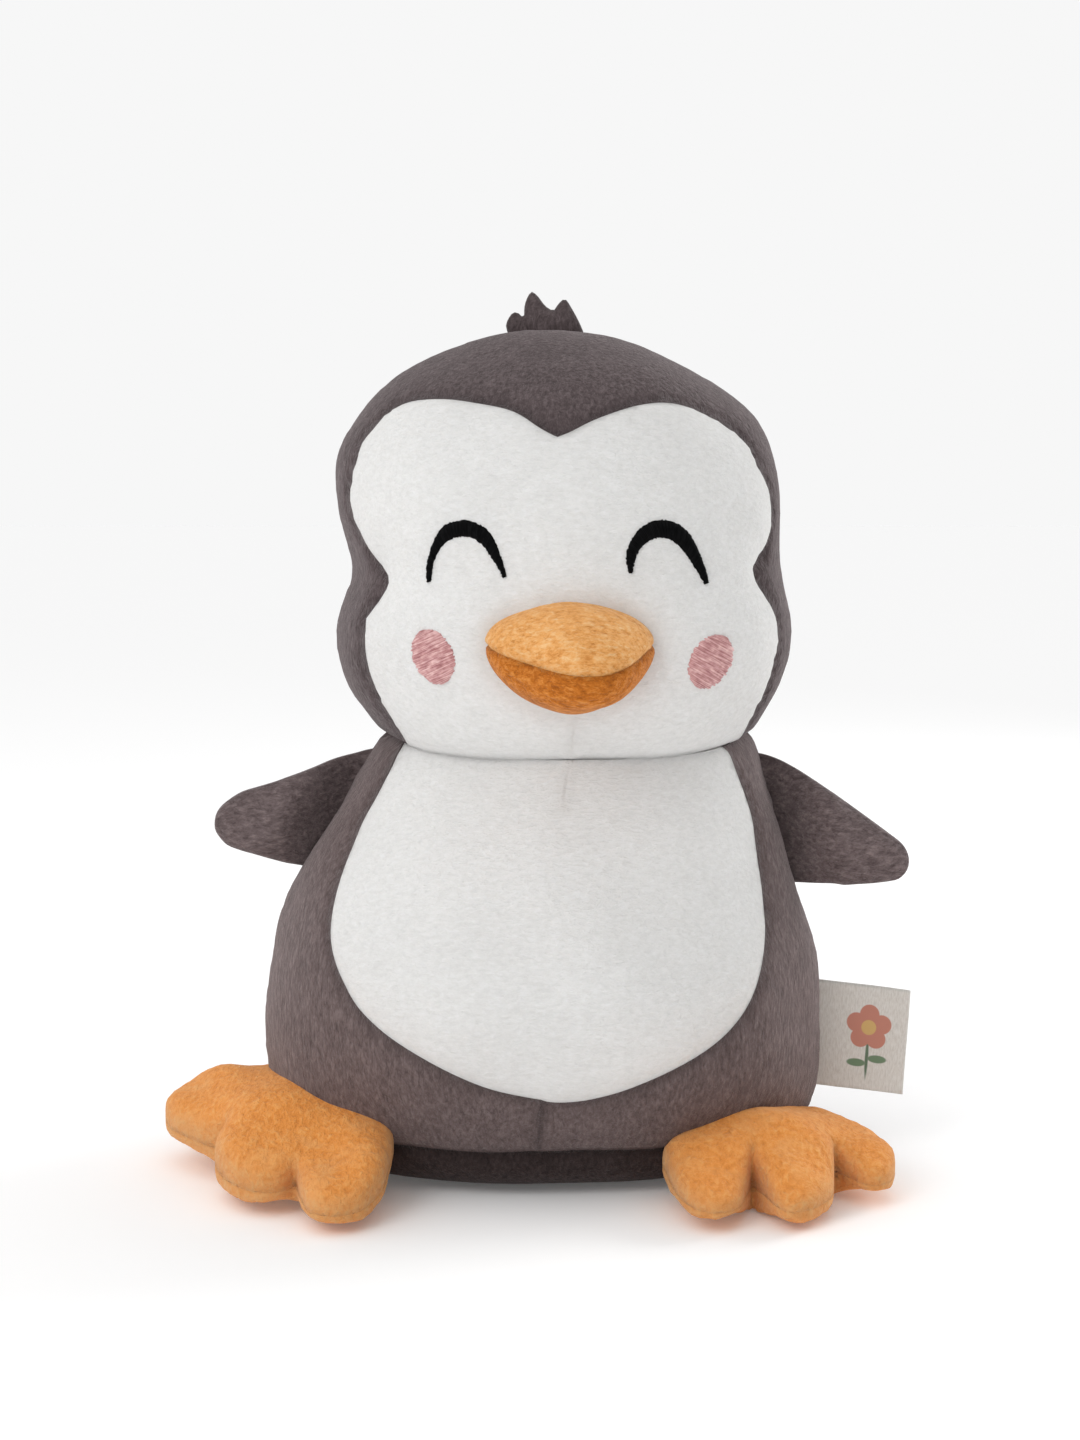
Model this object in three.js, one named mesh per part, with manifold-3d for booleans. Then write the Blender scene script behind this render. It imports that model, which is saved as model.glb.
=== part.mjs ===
// Plush penguin, sitting: stuffed head and body sewn from panels, two flippers, two webbed feet,
// a two-part beak, a three-point crest, embroidered eyes and cheeks and a folded side label.
// Units are millimetres, +Z is up, the penguin faces -Y and its own left side is +X.
// The fabric panels are thin shells round stuffing solids. Pieces that flex are cut back so that
// they clear their neighbours over their whole travel.
import * as THREE from "three";
import * as BufferGeometryUtils from "three/addons/utils/BufferGeometryUtils.js";
import Module from "manifold-3d";

const wasm = await Module();
wasm.setup();

// ---------------------------------------------------------------- driving dimensions (mm)
const SKIN = 1.8; // fabric with its backing
const GAP = 0.3; // between a panel and what it covers
const SEAM = 0.35; // between two neighbouring panels
const NECK_Z = 128.5;
const ORIGIN = [0.37, -8.62, 0]; // middle of the footprint box in the drawing frame below
// The neck turns on an ellipsoid of revolution about a line along X.
const NECK = { x: 7.8, y: -1, z: 88.5, halfX: 80.0, radius: 54.5, play: 0.45 };
const NOD_LIMIT = 10;
// Levels: [z, centre x, half width, front depth, back depth, roundness]
const HEAD = [
  [120, 7.8, 40, 26, 25, 2.0], [128.5, 7.8, 54.3, 38, 36, 2.0], [135.7, 7.4, 59.3, 46, 42.5, 2.1],
  [143.5, 6.9, 65, 53, 48.2, 2.2], [154, 7.0, 67.8, 57.1, 52.2, 2.2], [166, 7.4, 67.4, 58.2, 54, 2.2],
  [177.5, 8.1, 64.2, 57.6, 55, 2.2], [189, 6.9, 65.4, 56.8, 54.9, 2.2], [203, 5.4, 66.4, 54.6, 53.1, 2.2],
  [215, 4.3, 63.6, 50.9, 49.5, 2.18], [226, 4, 56.8, 44.9, 44.1, 2.12], [236.5, 3.3, 43.8, 34.5, 34.5, 2.05],
  [244, 2.8, 26, 20, 20.5, 2.0],
];
const HEAD_POLES = [116, 246.8];
const BODY = [
  [0, 0.3, 60, 32, 32, 2.1], [4, 0.3, 72, 44, 44.5, 2.1], [14, 0.2, 81, 51.5, 52.5, 2.1],
  [27, 0.2, 84.1, 58.6, 58.5, 2.1], [45, 0.3, 84.4, 64.6, 62.2, 2.1], [65, 0.9, 82, 65.2, 62.2, 2.1],
  [88, 2.0, 76.8, 58.5, 56.5, 2.08], [105, 3.9, 71, 50, 48.5, 2.0], [118, 5.3, 64.3, 43.5, 42, 2.0],
  [128.5, 7.8, 54.2, 37.9, 35.9, 2.0], [136, 7.8, 39, 27.5, 25.5, 2.0], [140.8, 7.8, 22, 16, 14, 2.0],
];
const BODY_POLES = [0, 142.8];
const BASE_SEAM_Z = 14;
// White face, outline in the frontal plane [x, z], clockwise from the middle of its top edge.
const FACE = [
  [4.7, 216], [8.5, 217], [16.5, 219.8], [27.8, 223.1], [39.2, 224], [50, 220.8], [59.5, 214.3], [63.5, 207.5],
  [66.7, 200.7], [67.3, 193.9], [66.6, 189], [65.2, 183.6], [62.6, 178.4], [64.8, 173.4], [68.3, 166.4],
  [69.8, 159.4], [68.7, 152.5], [66.5, 145.5], [63.6, 138.1], [60.3, 130.2], [58.5, 110], [-38.5, 110],
  [-40.2, 131.1], [-44.9, 138.8], [-49, 145.9], [-51.2, 152.9], [-51.7, 159.7], [-51.1, 166.6], [-49, 170],
  [-46.2, 175.4], [-48.8, 180.2], [-52.6, 187], [-55, 193.9], [-56.2, 198.5], [-55, 204.1], [-53.1, 210.9],
  [-49, 217.7], [-40.5, 224.3], [-29.4, 225.9], [-19.5, 225.1], [-8.3, 222.4], [0, 218],
];
// White belly, outline in the frontal plane.
const BELLY = [
  [-41.5, 140], [-42.6, 127.2], [-45.7, 120.8], [-49, 114.2], [-52.6, 107.5], [-55, 100.9], [-57.2, 94.3],
  [-58.7, 87.9], [-59.6, 81.4], [-59.7, 74.9], [-58.3, 68.7], [-55.5, 62.6], [-51.4, 56.4], [-44.4, 50.5],
  [-34.7, 44.4], [-23.3, 38], [-13, 33.8], [0, 31.3], [6, 30.6], [14, 31.3], [25, 34.2], [39.6, 40.5],
  [49.9, 46.3], [56.7, 52.4], [60.9, 58.6], [63.4, 64.8], [65.1, 71], [66.2, 77.4], [66.2, 87.3],
  [65.2, 93.9], [63.9, 100.6], [62.7, 107.2], [60.4, 114], [58, 120.7], [55.6, 127.4], [54.6, 140],
];
const FRONT_SEAM_X = -0.3; // short seam below the belly
const SIDE_SEAM_Y = -1; // side seams of head and body lie in this plane
const HEAD_BACK_SEAM_X = 6.5;
const BODY_BACK_SEAM_X = 1.5;

// ---------------------------------------------------------------- helpers
function solid(geometry) {
  const g = geometry.clone();
  g.deleteAttribute("normal");
  g.deleteAttribute("uv");
  const merged = BufferGeometryUtils.mergeVertices(g, 1e-3);
  return new wasm.Manifold(
    new wasm.Mesh({
      numProp: 3,
      vertProperties: new Float32Array(merged.attributes.position.array),
      triVerts: new Uint32Array(merged.index.array),
    }),
  );
}

function geometryOf(made) {
  const m = made.getMesh();
  const n = m.numProp;
  const v = new Float32Array(m.numVert * 3);
  for (let i = 0; i < m.numVert; i++) v.set(m.vertProperties.subarray(i * n, i * n + 3), i * 3);
  const g = new THREE.BufferGeometry();
  g.setAttribute("position", new THREE.BufferAttribute(v, 3));
  g.setIndex(new THREE.BufferAttribute(new Uint32Array(m.triVerts), 1));
  g.computeVertexNormals();
  return g;
}

// A closed form through oval levels: a lathe whose rings are then moved to each level's own oval.
function ovalForm(levels, poles, sides, offset = 0) {
  const rows = [[poles[0], ...levels[0].slice(1)], ...levels, [poles[1], ...levels[levels.length - 1].slice(1)]];
  const profile = rows.map((r, i) => new THREE.Vector2(i === 0 || i === rows.length - 1 ? 0 : 1, i));
  let g = new THREE.LatheGeometry(profile, sides);
  g.deleteAttribute("normal");
  g.deleteAttribute("uv");
  const p = g.attributes.position;
  for (let i = 0; i < p.count; i++) {
    const radius = Math.hypot(p.getX(i), p.getZ(i));
    const a = Math.atan2(p.getZ(i), p.getX(i));
    const [z, cx, half, front, back, n] = rows[Math.round(p.getY(i))];
    const c = Math.cos(a);
    const s = Math.sin(a);
    const x = Math.sign(c) * Math.abs(c) ** (2 / n) * half;
    const y = Math.sign(s) * Math.abs(s) ** (2 / n) * (s > 0 ? back : front);
    p.setXYZ(i, radius < 0.5 ? cx : cx + x, radius < 0.5 ? 0 : y, z);
  }
  g = BufferGeometryUtils.mergeVertices(g, 1e-3);
  g = facingOut(g);
  return offset ? swollen(g, offset) : g;
}

function facingOut(g) {
  const p = g.attributes.position.array;
  const ix = g.index.array;
  const a = new THREE.Vector3();
  const b = new THREE.Vector3();
  const c = new THREE.Vector3();
  let volume = 0;
  for (let i = 0; i < ix.length; i += 3) {
    a.fromArray(p, ix[i] * 3);
    b.fromArray(p, ix[i + 1] * 3);
    c.fromArray(p, ix[i + 2] * 3);
    volume += a.dot(b.cross(c));
  }
  if (volume < 0) for (let i = 0; i < ix.length; i += 3) [ix[i + 1], ix[i + 2]] = [ix[i + 2], ix[i + 1]];
  return g;
}

// Moves every point of a merged closed surface along its normal.
function swollen(g, offset) {
  const out = g.clone();
  out.computeVertexNormals();
  const p = out.attributes.position;
  const n = out.attributes.normal;
  for (let i = 0; i < p.count; i++)
    p.setXYZ(i, p.getX(i) + n.getX(i) * offset, p.getY(i) + n.getY(i) * offset, p.getZ(i) + n.getZ(i) * offset);
  out.deleteAttribute("normal");
  return out;
}

// A frontal outline [x, z] made into a prism that runs from y0 to y1.
function frontal(outline, y0, y1, grow = 0) {
  const shape = new THREE.Shape(grown(outline, grow).map(([x, z]) => new THREE.Vector2(x, z)));
  const g = new THREE.ExtrudeGeometry(shape, { depth: y1 - y0, bevelEnabled: false });
  g.rotateX(Math.PI / 2); // (x, z, depth) to (x, -depth, z)
  g.translate(0, y1, 0);
  return solid(g);
}

// Moves each edge of a closed outline outwards by the given distance.
function grown(outline, by) {
  if (!by) return outline;
  const n = outline.length;
  let area = 0;
  outline.forEach(([x, z], i) => {
    const [x2, z2] = outline[(i + 1) % n];
    area += x * z2 - x2 * z;
  });
  const sign = area > 0 ? 1 : -1;
  return outline.map((q, i) => {
    const before = outline[(i + n - 1) % n];
    const after = outline[(i + 1) % n];
    const d1 = new THREE.Vector2(q[0] - before[0], q[1] - before[1]).normalize();
    const d2 = new THREE.Vector2(after[0] - q[0], after[1] - q[1]).normalize();
    const n1 = new THREE.Vector2(d1.y, -d1.x).multiplyScalar(sign);
    const n2 = new THREE.Vector2(d2.y, -d2.x).multiplyScalar(sign);
    const m = n1.clone().add(n2).normalize();
    const reach = by / Math.max(0.5, m.dot(n1));
    return [q[0] + m.x * reach, q[1] + m.y * reach];
  });
}

function block(x0, x1, y0, y1, z0, z1) {
  const g = new THREE.BoxGeometry(x1 - x0, y1 - y0, z1 - z0);
  g.translate((x0 + x1) / 2, (y0 + y1) / 2, (z0 + z1) / 2);
  return solid(g);
}

// The pieces of a solid turned about a line, joined: what it sweeps as a neighbour turns.
function swept(made, point, axis, degrees) {
  const out = [];
  for (const d of degrees) {
    const m = new THREE.Matrix4()
      .makeTranslation(...point)
      .multiply(new THREE.Matrix4().makeRotationAxis(new THREE.Vector3(...axis).normalize(), (d * Math.PI) / 180))
      .multiply(new THREE.Matrix4().makeTranslation(-point[0], -point[1], -point[2]));
    out.push(made.transform(m.elements));
  }
  return out.reduce((a, b) => a.add(b));
}

// The largest of the separate bodies of a cut.
function largest(made) {
  return made.decompose().sort((a, b) => b.volume() - a.volume())[0];
}

const group = new THREE.Group();
group.name = "plush_penguin";
const placed = new THREE.Group();
placed.position.set(-ORIGIN[0], -ORIGIN[1], -ORIGIN[2]);
group.add(placed);

const FABRIC = {
  taupe: { color: 0x73676a, roughness: 0.95 },
  white: { color: 0xe6e4e0, roughness: 0.95 },
  orange: { color: 0xd98c4a, roughness: 0.92 },
  black: { color: 0x17171b, roughness: 0.6 },
  pink: { color: 0xc98f94, roughness: 0.65 },
  fibre: { color: 0xf2f1ec, roughness: 1.0 },
  ribbon: { color: 0xc9c5bd, roughness: 0.8 },
};

function add(name, made, fabric) {
  const mesh = new THREE.Mesh(
    geometryOf(largest(made)),
    new THREE.MeshStandardMaterial({ ...FABRIC[fabric], metalness: 0 }),
  );
  mesh.name = name;
  placed.add(mesh);
  return mesh;
}

// ---------------------------------------------------------------- head and body forms
const SIDES = 28;
const headForm = ovalForm(HEAD, HEAD_POLES, SIDES);
const bodyForm = ovalForm(BODY, BODY_POLES, SIDES);

const socketBall = (play) => {
  const g = new THREE.SphereGeometry(1, 36, 20);
  g.rotateZ(Math.PI / 2);
  g.scale(NECK.halfX + play, NECK.radius + play, NECK.radius + play);
  g.translate(NECK.x, NECK.y, NECK.z);
  return solid(g);
};
const socket = socketBall(NECK.play);

const headOuter = solid(headForm);
const headSkin = headOuter.subtract(solid(swollen(headForm, -SKIN))).subtract(socket);
const headInside = solid(ovalForm(HEAD, HEAD_POLES, SIDES / 2, -SKIN - GAP)).subtract(socket);
const bodyOuter = solid(bodyForm);
const bodySkin = bodyOuter.subtract(solid(swollen(bodyForm, -SKIN)));
const bodyInside = solid(ovalForm(BODY, BODY_POLES, SIDES / 2, -SKIN - GAP));
const bodyProxy = solid(ovalForm(BODY, BODY_POLES, 24, 1.5)); // what flexing pieces keep clear of

// head panels
const frontHalf = block(-150, 150, -150, SIDE_SEAM_Y - SEAM / 2, -20, 300);
const backHalf = block(-150, 150, SIDE_SEAM_Y + SEAM / 2, 150, -20, 300);
const facePrism = frontal(FACE, -150, -1.5, -SEAM / 2);
const faceHole = frontal(FACE, -150, -1.5, SEAM / 2);
add("face_panel", headSkin.intersect(facePrism), "white");
add("head_front", headSkin.intersect(frontHalf).subtract(faceHole), "taupe");
add("head_back_left", headSkin.intersect(backHalf).intersect(block(HEAD_BACK_SEAM_X + SEAM / 2, 150, -1, 150, 0, 300)), "taupe");
add("head_back_right", headSkin.intersect(backHalf).intersect(block(-150, HEAD_BACK_SEAM_X - SEAM / 2, -1, 150, 0, 300)), "taupe");
add("head_stuffing", headInside, "fibre");

// body panels
const aboveBase = block(-150, 150, -150, 150, BASE_SEAM_Z + SEAM / 2, NECK_Z - 0.4);
const belowBase = block(-150, 150, -150, 150, -20, BASE_SEAM_Z - SEAM / 2);
const bellyPrism = frontal(BELLY, -150, -2, -SEAM / 2);
const bellyHole = frontal(BELLY, -150, -2, SEAM / 2);
const walls = bodySkin.intersect(aboveBase);
add("belly_panel", walls.intersect(bellyPrism), "white");
add("body_front_left", walls.intersect(frontHalf).subtract(bellyHole).intersect(block(FRONT_SEAM_X + SEAM / 2, 150, -150, 0, 0, 200)), "taupe");
add("body_front_right", walls.intersect(frontHalf).subtract(bellyHole).intersect(block(-150, FRONT_SEAM_X - SEAM / 2, -150, 0, 0, 200)), "taupe");
add("body_back_left", walls.intersect(backHalf).intersect(block(BODY_BACK_SEAM_X + SEAM / 2, 150, -1, 150, 0, 300)), "taupe");
add("body_back_right", walls.intersect(backHalf).intersect(block(-150, BODY_BACK_SEAM_X - SEAM / 2, -1, 150, 0, 300)), "taupe");
add("base_panel", bodySkin.intersect(belowBase), "taupe");
add("body_stuffing", bodyInside, "fibre");

// ---------------------------------------------------------------- embroidery on the face
const EYE_THICK = 1.0;
const stitched = solid(swollen(headForm, GAP + EYE_THICK)).subtract(solid(swollen(headForm, GAP)));
const EYES = {
  eye_right: [
    [-31.2, 175.4], [-31, 179.6], [-29.9, 184.4], [-28, 188.7], [-25.4, 191.5], [-21.7, 192.6], [-18.1, 192.2],
    [-14.4, 190], [-12, 186.2], [-10.2, 181.4], [-9.2, 177.3], [-10.2, 176.9], [-11.4, 179.4], [-13.5, 182.7],
    [-15.8, 185.9], [-18.8, 187.9], [-21.8, 188.1], [-24.8, 187.1], [-27.2, 184.7], [-28.9, 181], [-29.9, 175.7],
  ],
  eye_left: [
    [24.2, 178.2], [23.5, 182.6], [24.3, 186], [26.3, 189.4], [29.4, 191.7], [33, 192.7], [37.4, 192],
    [41.2, 189.2], [44, 184.3], [45.9, 179.4], [46.9, 175.5], [45.8, 175], [44.6, 177], [42.7, 179.9],
    [40.2, 183.5], [37.2, 186.5], [34.2, 187.7], [31.8, 187.7], [28.9, 186.3], [27, 184.1], [25.9, 181.2],
    [25.3, 178.2],
  ],
};
for (const [name, outline] of Object.entries(EYES)) add(name, stitched.intersect(frontal(outline, -150, -20)), "black");
const CHEEKS = {
  cheek_right: { x: -29.9, z: 155, a: 5.8, b: 7.9, lean: 25 },
  cheek_left: { x: 47.6, z: 153.6, a: 5.7, b: 7.9, lean: -29 },
};
for (const [name, c] of Object.entries(CHEEKS)) {
  const t = (c.lean * Math.PI) / 180;
  const outline = new THREE.EllipseCurve(0, 0, c.a, c.b, 0, Math.PI * 2, false, t)
    .getPoints(20)
    .slice(0, 20)
    .map((q) => [c.x + q.x, c.z + q.y]);
  add(name, stitched.intersect(frontal(outline, -150, -20)), "pink");
}

// ---------------------------------------------------------------- beak
// Levels along -Y: [y, centre x, centre z, half width, up, down]
const BEAK = [
  [-50, 8.2, 156, 23, 13.5, 13.5], [-57, 8.2, 156, 24.3, 14.4, 14.6], [-61, 8.3, 155.6, 23.6, 14, 14.2],
  [-65, 8.9, 155, 21.2, 12.6, 12.8], [-69, 10, 154.2, 17.4, 10.6, 10.8], [-72.5, 11.6, 153.2, 12.4, 7.8, 8],
  [-75, 12.8, 152.4, 6.6, 4.4, 4.6],
];
const beakForm = (() => {
  const rows = [[-47, ...BEAK[0].slice(1)], ...BEAK, [-76.2, ...BEAK[BEAK.length - 1].slice(1)]];
  const profile = rows.map((r, i) => new THREE.Vector2(i === 0 || i === rows.length - 1 ? 0 : 1, i));
  let g = new THREE.LatheGeometry(profile, 28);
  g.deleteAttribute("normal");
  g.deleteAttribute("uv");
  const p = g.attributes.position;
  for (let i = 0; i < p.count; i++) {
    const radius = Math.hypot(p.getX(i), p.getZ(i));
    const a = Math.atan2(p.getZ(i), p.getX(i));
    const [y, cx, cz, half, up, down] = rows[Math.round(p.getY(i))];
    if (radius < 0.5) p.setXYZ(i, cx, y, cz);
    else {
      // a lemon-shaped section: pointed at the corners of the mouth
      const s = Math.sin(a);
      const c = Math.cos(a);
      p.setXYZ(i, cx + half * c, y, cz + (s > 0 ? up : down) * Math.sign(s) * Math.abs(s) ** 1.25);
    }
  }
  return facingOut(BufferGeometryUtils.mergeVertices(g, 1e-3));
})();
const offFace = solid(swollen(headForm, 0.4));
const beakOuter = solid(beakForm);
const beakSkin = beakOuter.subtract(solid(swollen(beakForm, -SKIN + 0.3))).subtract(offFace);
const MOUTH = [[-20, 158.4], [-14, 157.6], [-8, 155], [1, 152.6], [12, 150.6], [21, 150.8], [28, 154], [36, 159]];
const aboveMouth = frontal([...MOUTH, [36, 190], [-20, 190]].map(([x, z]) => [x, z + SEAM / 2]), -120, -30);
const belowMouth = frontal([...MOUTH, [36, 120], [-20, 120]].map(([x, z]) => [x, z - SEAM / 2]), -120, -30);
add("beak_upper", beakSkin.intersect(aboveMouth), "orange");
add("beak_lower", beakSkin.intersect(belowMouth), "orange");
add("beak_stuffing", solid(swollen(beakForm, -SKIN - 0.1)).subtract(offFace), "fibre");

// ---------------------------------------------------------------- crest on the crown
const CREST_Y = 0;
const CREST_FOOT_Z = 248.4;
const CREST_THICK = 2.0;
const CREST = [
  [-10.2, CREST_FOOT_Z], [-10, 251], [-8.1, 254], [-6.3, 253.8], [-4.8, 252.6], [-4.4, 256.5], [-2.7, 260.2],
  [-0.6, 259], [1.6, 256], [3.9, 254.6], [5.6, 257], [7.5, 258.1], [9.4, 255.6], [12, 251], [13.2, CREST_FOOT_Z],
];
add("crest_front", frontal(CREST, CREST_Y - CREST_THICK - GAP / 2, CREST_Y - GAP / 2), "taupe");
add("crest_back", frontal(CREST, CREST_Y + GAP / 2, CREST_Y + CREST_THICK + GAP / 2), "taupe");

// ---------------------------------------------------------------- flippers
// Stations from the shoulder out: [distance out, height of the middle, half height, half thickness]
const SWEEP = { up: 45, down: -30 };
const WINGS = {
  wing_right: {
    side: -1,
    hinge: [-64.5, -12, 106],
    rows: [
      [-14, 4, 13, 8], [-6, 3, 16, 11.5], [2, 1, 17.2, 13], [10, -0.5, 15.8, 12], [18, -2.4, 13.6, 10.4],
      [25, -4.2, 11.4, 8.4], [30.5, -5.6, 8.6, 6.2], [33.6, -6.2, 5, 3.6],
    ],
    tip: [34.8, -6.4],
  },
  wing_left: {
    side: 1,
    hinge: [72, -12, 104],
    rows: [
      [-14, 6, 14, 8], [-6, 3.5, 17, 11.5], [2, -1, 17.8, 13], [10, -5, 16, 12], [18, -9, 13.2, 10.4],
      [26, -13, 10.2, 8.2], [32.5, -16, 7.4, 6], [36.8, -17.6, 4.2, 3.4],
    ],
    tip: [38.2, -18],
  },
};
for (const [name, w] of Object.entries(WINGS)) {
  const rows = [[w.rows[0][0] - 2, w.rows[0][1], 1, 1], ...w.rows, [w.tip[0], w.tip[1], 1, 1]];
  const profile = rows.map((r, i) => new THREE.Vector2(i === 0 || i === rows.length - 1 ? 0 : 1, i));
  let g = new THREE.LatheGeometry(profile, 20);
  g.deleteAttribute("normal");
  g.deleteAttribute("uv");
  const p = g.attributes.position;
  for (let i = 0; i < p.count; i++) {
    const radius = Math.hypot(p.getX(i), p.getZ(i));
    const a = Math.atan2(p.getZ(i), p.getX(i));
    const [out, mid, high, thick] = rows[Math.round(p.getY(i))];
    const k = radius < 0.5 ? 0 : 1;
    p.setXYZ(i, w.hinge[0] + w.side * out, w.hinge[1] + k * thick * Math.cos(a), w.hinge[2] + mid + k * high * Math.sin(a));
  }
  g = facingOut(BufferGeometryUtils.mergeVertices(g, 1e-3));
  // lifting the wing turns it about -Y on the left side and +Y on the right, so the body turns the other way round it
  const degrees = [];
  for (let d = SWEEP.down; d <= SWEEP.up + 0.1; d += 7.5) degrees.push(w.side * d);
  const clear = swept(bodyProxy, w.hinge, [0, 1, 0], degrees);
  const skin = solid(g).subtract(solid(swollen(g, -SKIN))).subtract(clear);
  const reach = w.side > 0 ? [w.hinge[0] - 20, 150] : [-150, w.hinge[0] + 20];
  add(name + "_front", skin.intersect(block(...reach, -80, w.hinge[1] - SEAM / 2, 0, 200)), "taupe");
  add(name + "_back", skin.intersect(block(...reach, w.hinge[1] + SEAM / 2, 80, 0, 200)), "taupe");
  add(name + "_stuffing", solid(swollen(g, -SKIN - GAP)).subtract(clear), "fibre");
}

// ---------------------------------------------------------------- feet
// Plan outlines [x, y] at the edge seam, from the inner end of the ankle round the three toes.
const FOOT_SEAM_Z = 8.5;
const FEET = {
  foot_right: {
    outline: [
      [-42.5, -40], [-41.5, -51], [-42, -57], [-42.3, -62], [-43.2, -67], [-45.5, -72.5], [-49, -77.5],
      [-55, -79.5], [-61.8, -77.5], [-65.3, -71.5], [-68.2, -62.5], [-72.5, -65], [-79, -64.8], [-85.2, -60.5],
      [-89.8, -54], [-92.8, -46.8], [-93.5, -40.5], [-91.8, -35.5], [-97.5, -31.5], [-103.5, -26], [-108.5, -19],
      [-110.5, -12], [-110.3, -5], [-107.5, 1.5], [-101, 6], [-93, 7.5], [-85, 7], [-77, 3],
      [-66, -12], [-52, -27],
    ],
    middle: [-68, -36],
    heights: { top: 15.5, sole: 8.5 },
    hinge: { point: [-66, -27, 12], axis: [-0.66, 0.75, 0] },
  },
  foot_left: {
    outline: [
      [35.6, -44], [35.5, -54], [36.6, -63], [38.3, -69.5], [41, -75], [45, -78.8], [50, -79.2],
      [52.8, -76], [55.6, -69], [59.6, -63], [62.6, -68.5], [64, -74], [67.5, -79], [72.8, -77.3],
      [77.2, -73], [80.8, -67], [82.6, -58.5], [85.4, -54.5], [88.8, -54], [92, -55], [95.6, -55],
      [98.6, -54], [101.4, -46.5], [101.6, -38], [98.5, -29], [90, -20], [80, -12], [72, -8],
      [62, -18], [50, -31],
    ],
    middle: [66, -36],
    heights: { top: 15, sole: 8.5 },
    hinge: { point: [60, -31, 12], axis: [-0.72, -0.69, 0] },
  },
};
const FOOT_RINGS = [[1, 0], [0.94, 0.52], [0.78, 0.86], [0.42, 1]]; // share of the outline, share of the height
function footForm(f) {
  const n = f.outline.length;
  const rings = [
    ...FOOT_RINGS.slice(1).reverse().map(([k, h]) => [k, FOOT_SEAM_Z - f.heights.sole * Math.min(1, h * 1.08)]),
    [1, FOOT_SEAM_Z],
    ...FOOT_RINGS.slice(1).map(([k, h]) => [k, FOOT_SEAM_Z + f.heights.top * h]),
  ];
  const rows = rings.length + 2;
  const profile = [];
  for (let i = 0; i < rows; i++) profile.push(new THREE.Vector2(i === 0 || i === rows - 1 ? 0 : 1, i));
  let g = new THREE.LatheGeometry(profile, n);
  g.deleteAttribute("normal");
  g.deleteAttribute("uv");
  const p = g.attributes.position;
  for (let i = 0; i < p.count; i++) {
    const row = Math.round(p.getY(i));
    const radius = Math.hypot(p.getX(i), p.getZ(i));
    const step = (Math.round((Math.atan2(p.getZ(i), p.getX(i)) / (Math.PI * 2)) * n) + 2 * n) % n;
    const [k, z] = row === 0 ? [0, rings[0][1]] : row === rows - 1 ? [0, rings[rings.length - 1][1]] : rings[row - 1];
    const q = f.outline[step];
    const x = f.middle[0] + (radius < 0.5 ? 0 : k * (q[0] - f.middle[0]));
    const y = f.middle[1] + (radius < 0.5 ? 0 : k * (q[1] - f.middle[1]));
    p.setXYZ(i, x, y, z);
  }
  return facingOut(BufferGeometryUtils.mergeVertices(g, 1e-3));
}
const FLEX = { up: 30, down: 0 }; // degrees; the soles rest on the ground
for (const [name, f] of Object.entries(FEET)) {
  const g = footForm(f);
  const degrees = [];
  for (let d = FLEX.down; d <= FLEX.up + 0.1; d += 10) degrees.push(-d);
  const clear = swept(bodyProxy, f.hinge.point, f.hinge.axis, degrees);
  const skin = solid(g).subtract(solid(swollen(g, -SKIN))).subtract(clear);
  add(name + "_top", skin.intersect(block(-150, 150, -120, 50, FOOT_SEAM_Z + SEAM / 2, 60)), "orange");
  add(name + "_sole", skin.intersect(block(-150, 150, -120, 50, -20, FOOT_SEAM_Z - SEAM / 2)), "orange");
  add(name + "_stuffing", solid(swollen(g, -SKIN - 3 * GAP)).subtract(clear), "fibre");
}

// ---------------------------------------------------------------- folded label in the side seam
const LABEL = [[85.6, 53.5], [111.2, 50.4], [109.2, 17.9], [85.6, 21.6]];
add("label", frontal(LABEL, SIDE_SEAM_Y - 0.5, SIDE_SEAM_Y + 0.5), "ribbon");

export default group;
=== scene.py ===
import bpy
import math
import numpy as np
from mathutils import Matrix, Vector, kdtree
from mathutils.geometry import delaunay_2d_cdt

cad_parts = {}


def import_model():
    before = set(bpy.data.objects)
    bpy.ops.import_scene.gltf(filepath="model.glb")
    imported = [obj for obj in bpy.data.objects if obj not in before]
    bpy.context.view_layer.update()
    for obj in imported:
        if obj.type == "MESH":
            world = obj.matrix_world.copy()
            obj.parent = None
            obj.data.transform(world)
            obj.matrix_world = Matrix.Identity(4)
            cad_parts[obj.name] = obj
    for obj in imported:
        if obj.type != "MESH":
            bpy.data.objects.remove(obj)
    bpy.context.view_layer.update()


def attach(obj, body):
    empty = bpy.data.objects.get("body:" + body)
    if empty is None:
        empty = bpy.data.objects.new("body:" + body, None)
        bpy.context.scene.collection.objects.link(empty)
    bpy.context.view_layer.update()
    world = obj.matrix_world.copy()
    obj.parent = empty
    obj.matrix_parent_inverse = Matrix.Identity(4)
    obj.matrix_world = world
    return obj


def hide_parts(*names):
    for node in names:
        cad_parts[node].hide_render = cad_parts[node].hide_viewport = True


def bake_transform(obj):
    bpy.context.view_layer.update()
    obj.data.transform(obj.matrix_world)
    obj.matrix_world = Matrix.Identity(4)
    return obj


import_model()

# ------------------------------------------------------------------ frame
# Drawing frame: millimetres, the penguin faces -Y. ORIGIN is the middle of its footprint box there.
ORIGIN = np.array([0.37, -8.62, 0.0])
MM = 0.001


def world(p):
    return (np.asarray(p, float) - ORIGIN) * MM


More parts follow.
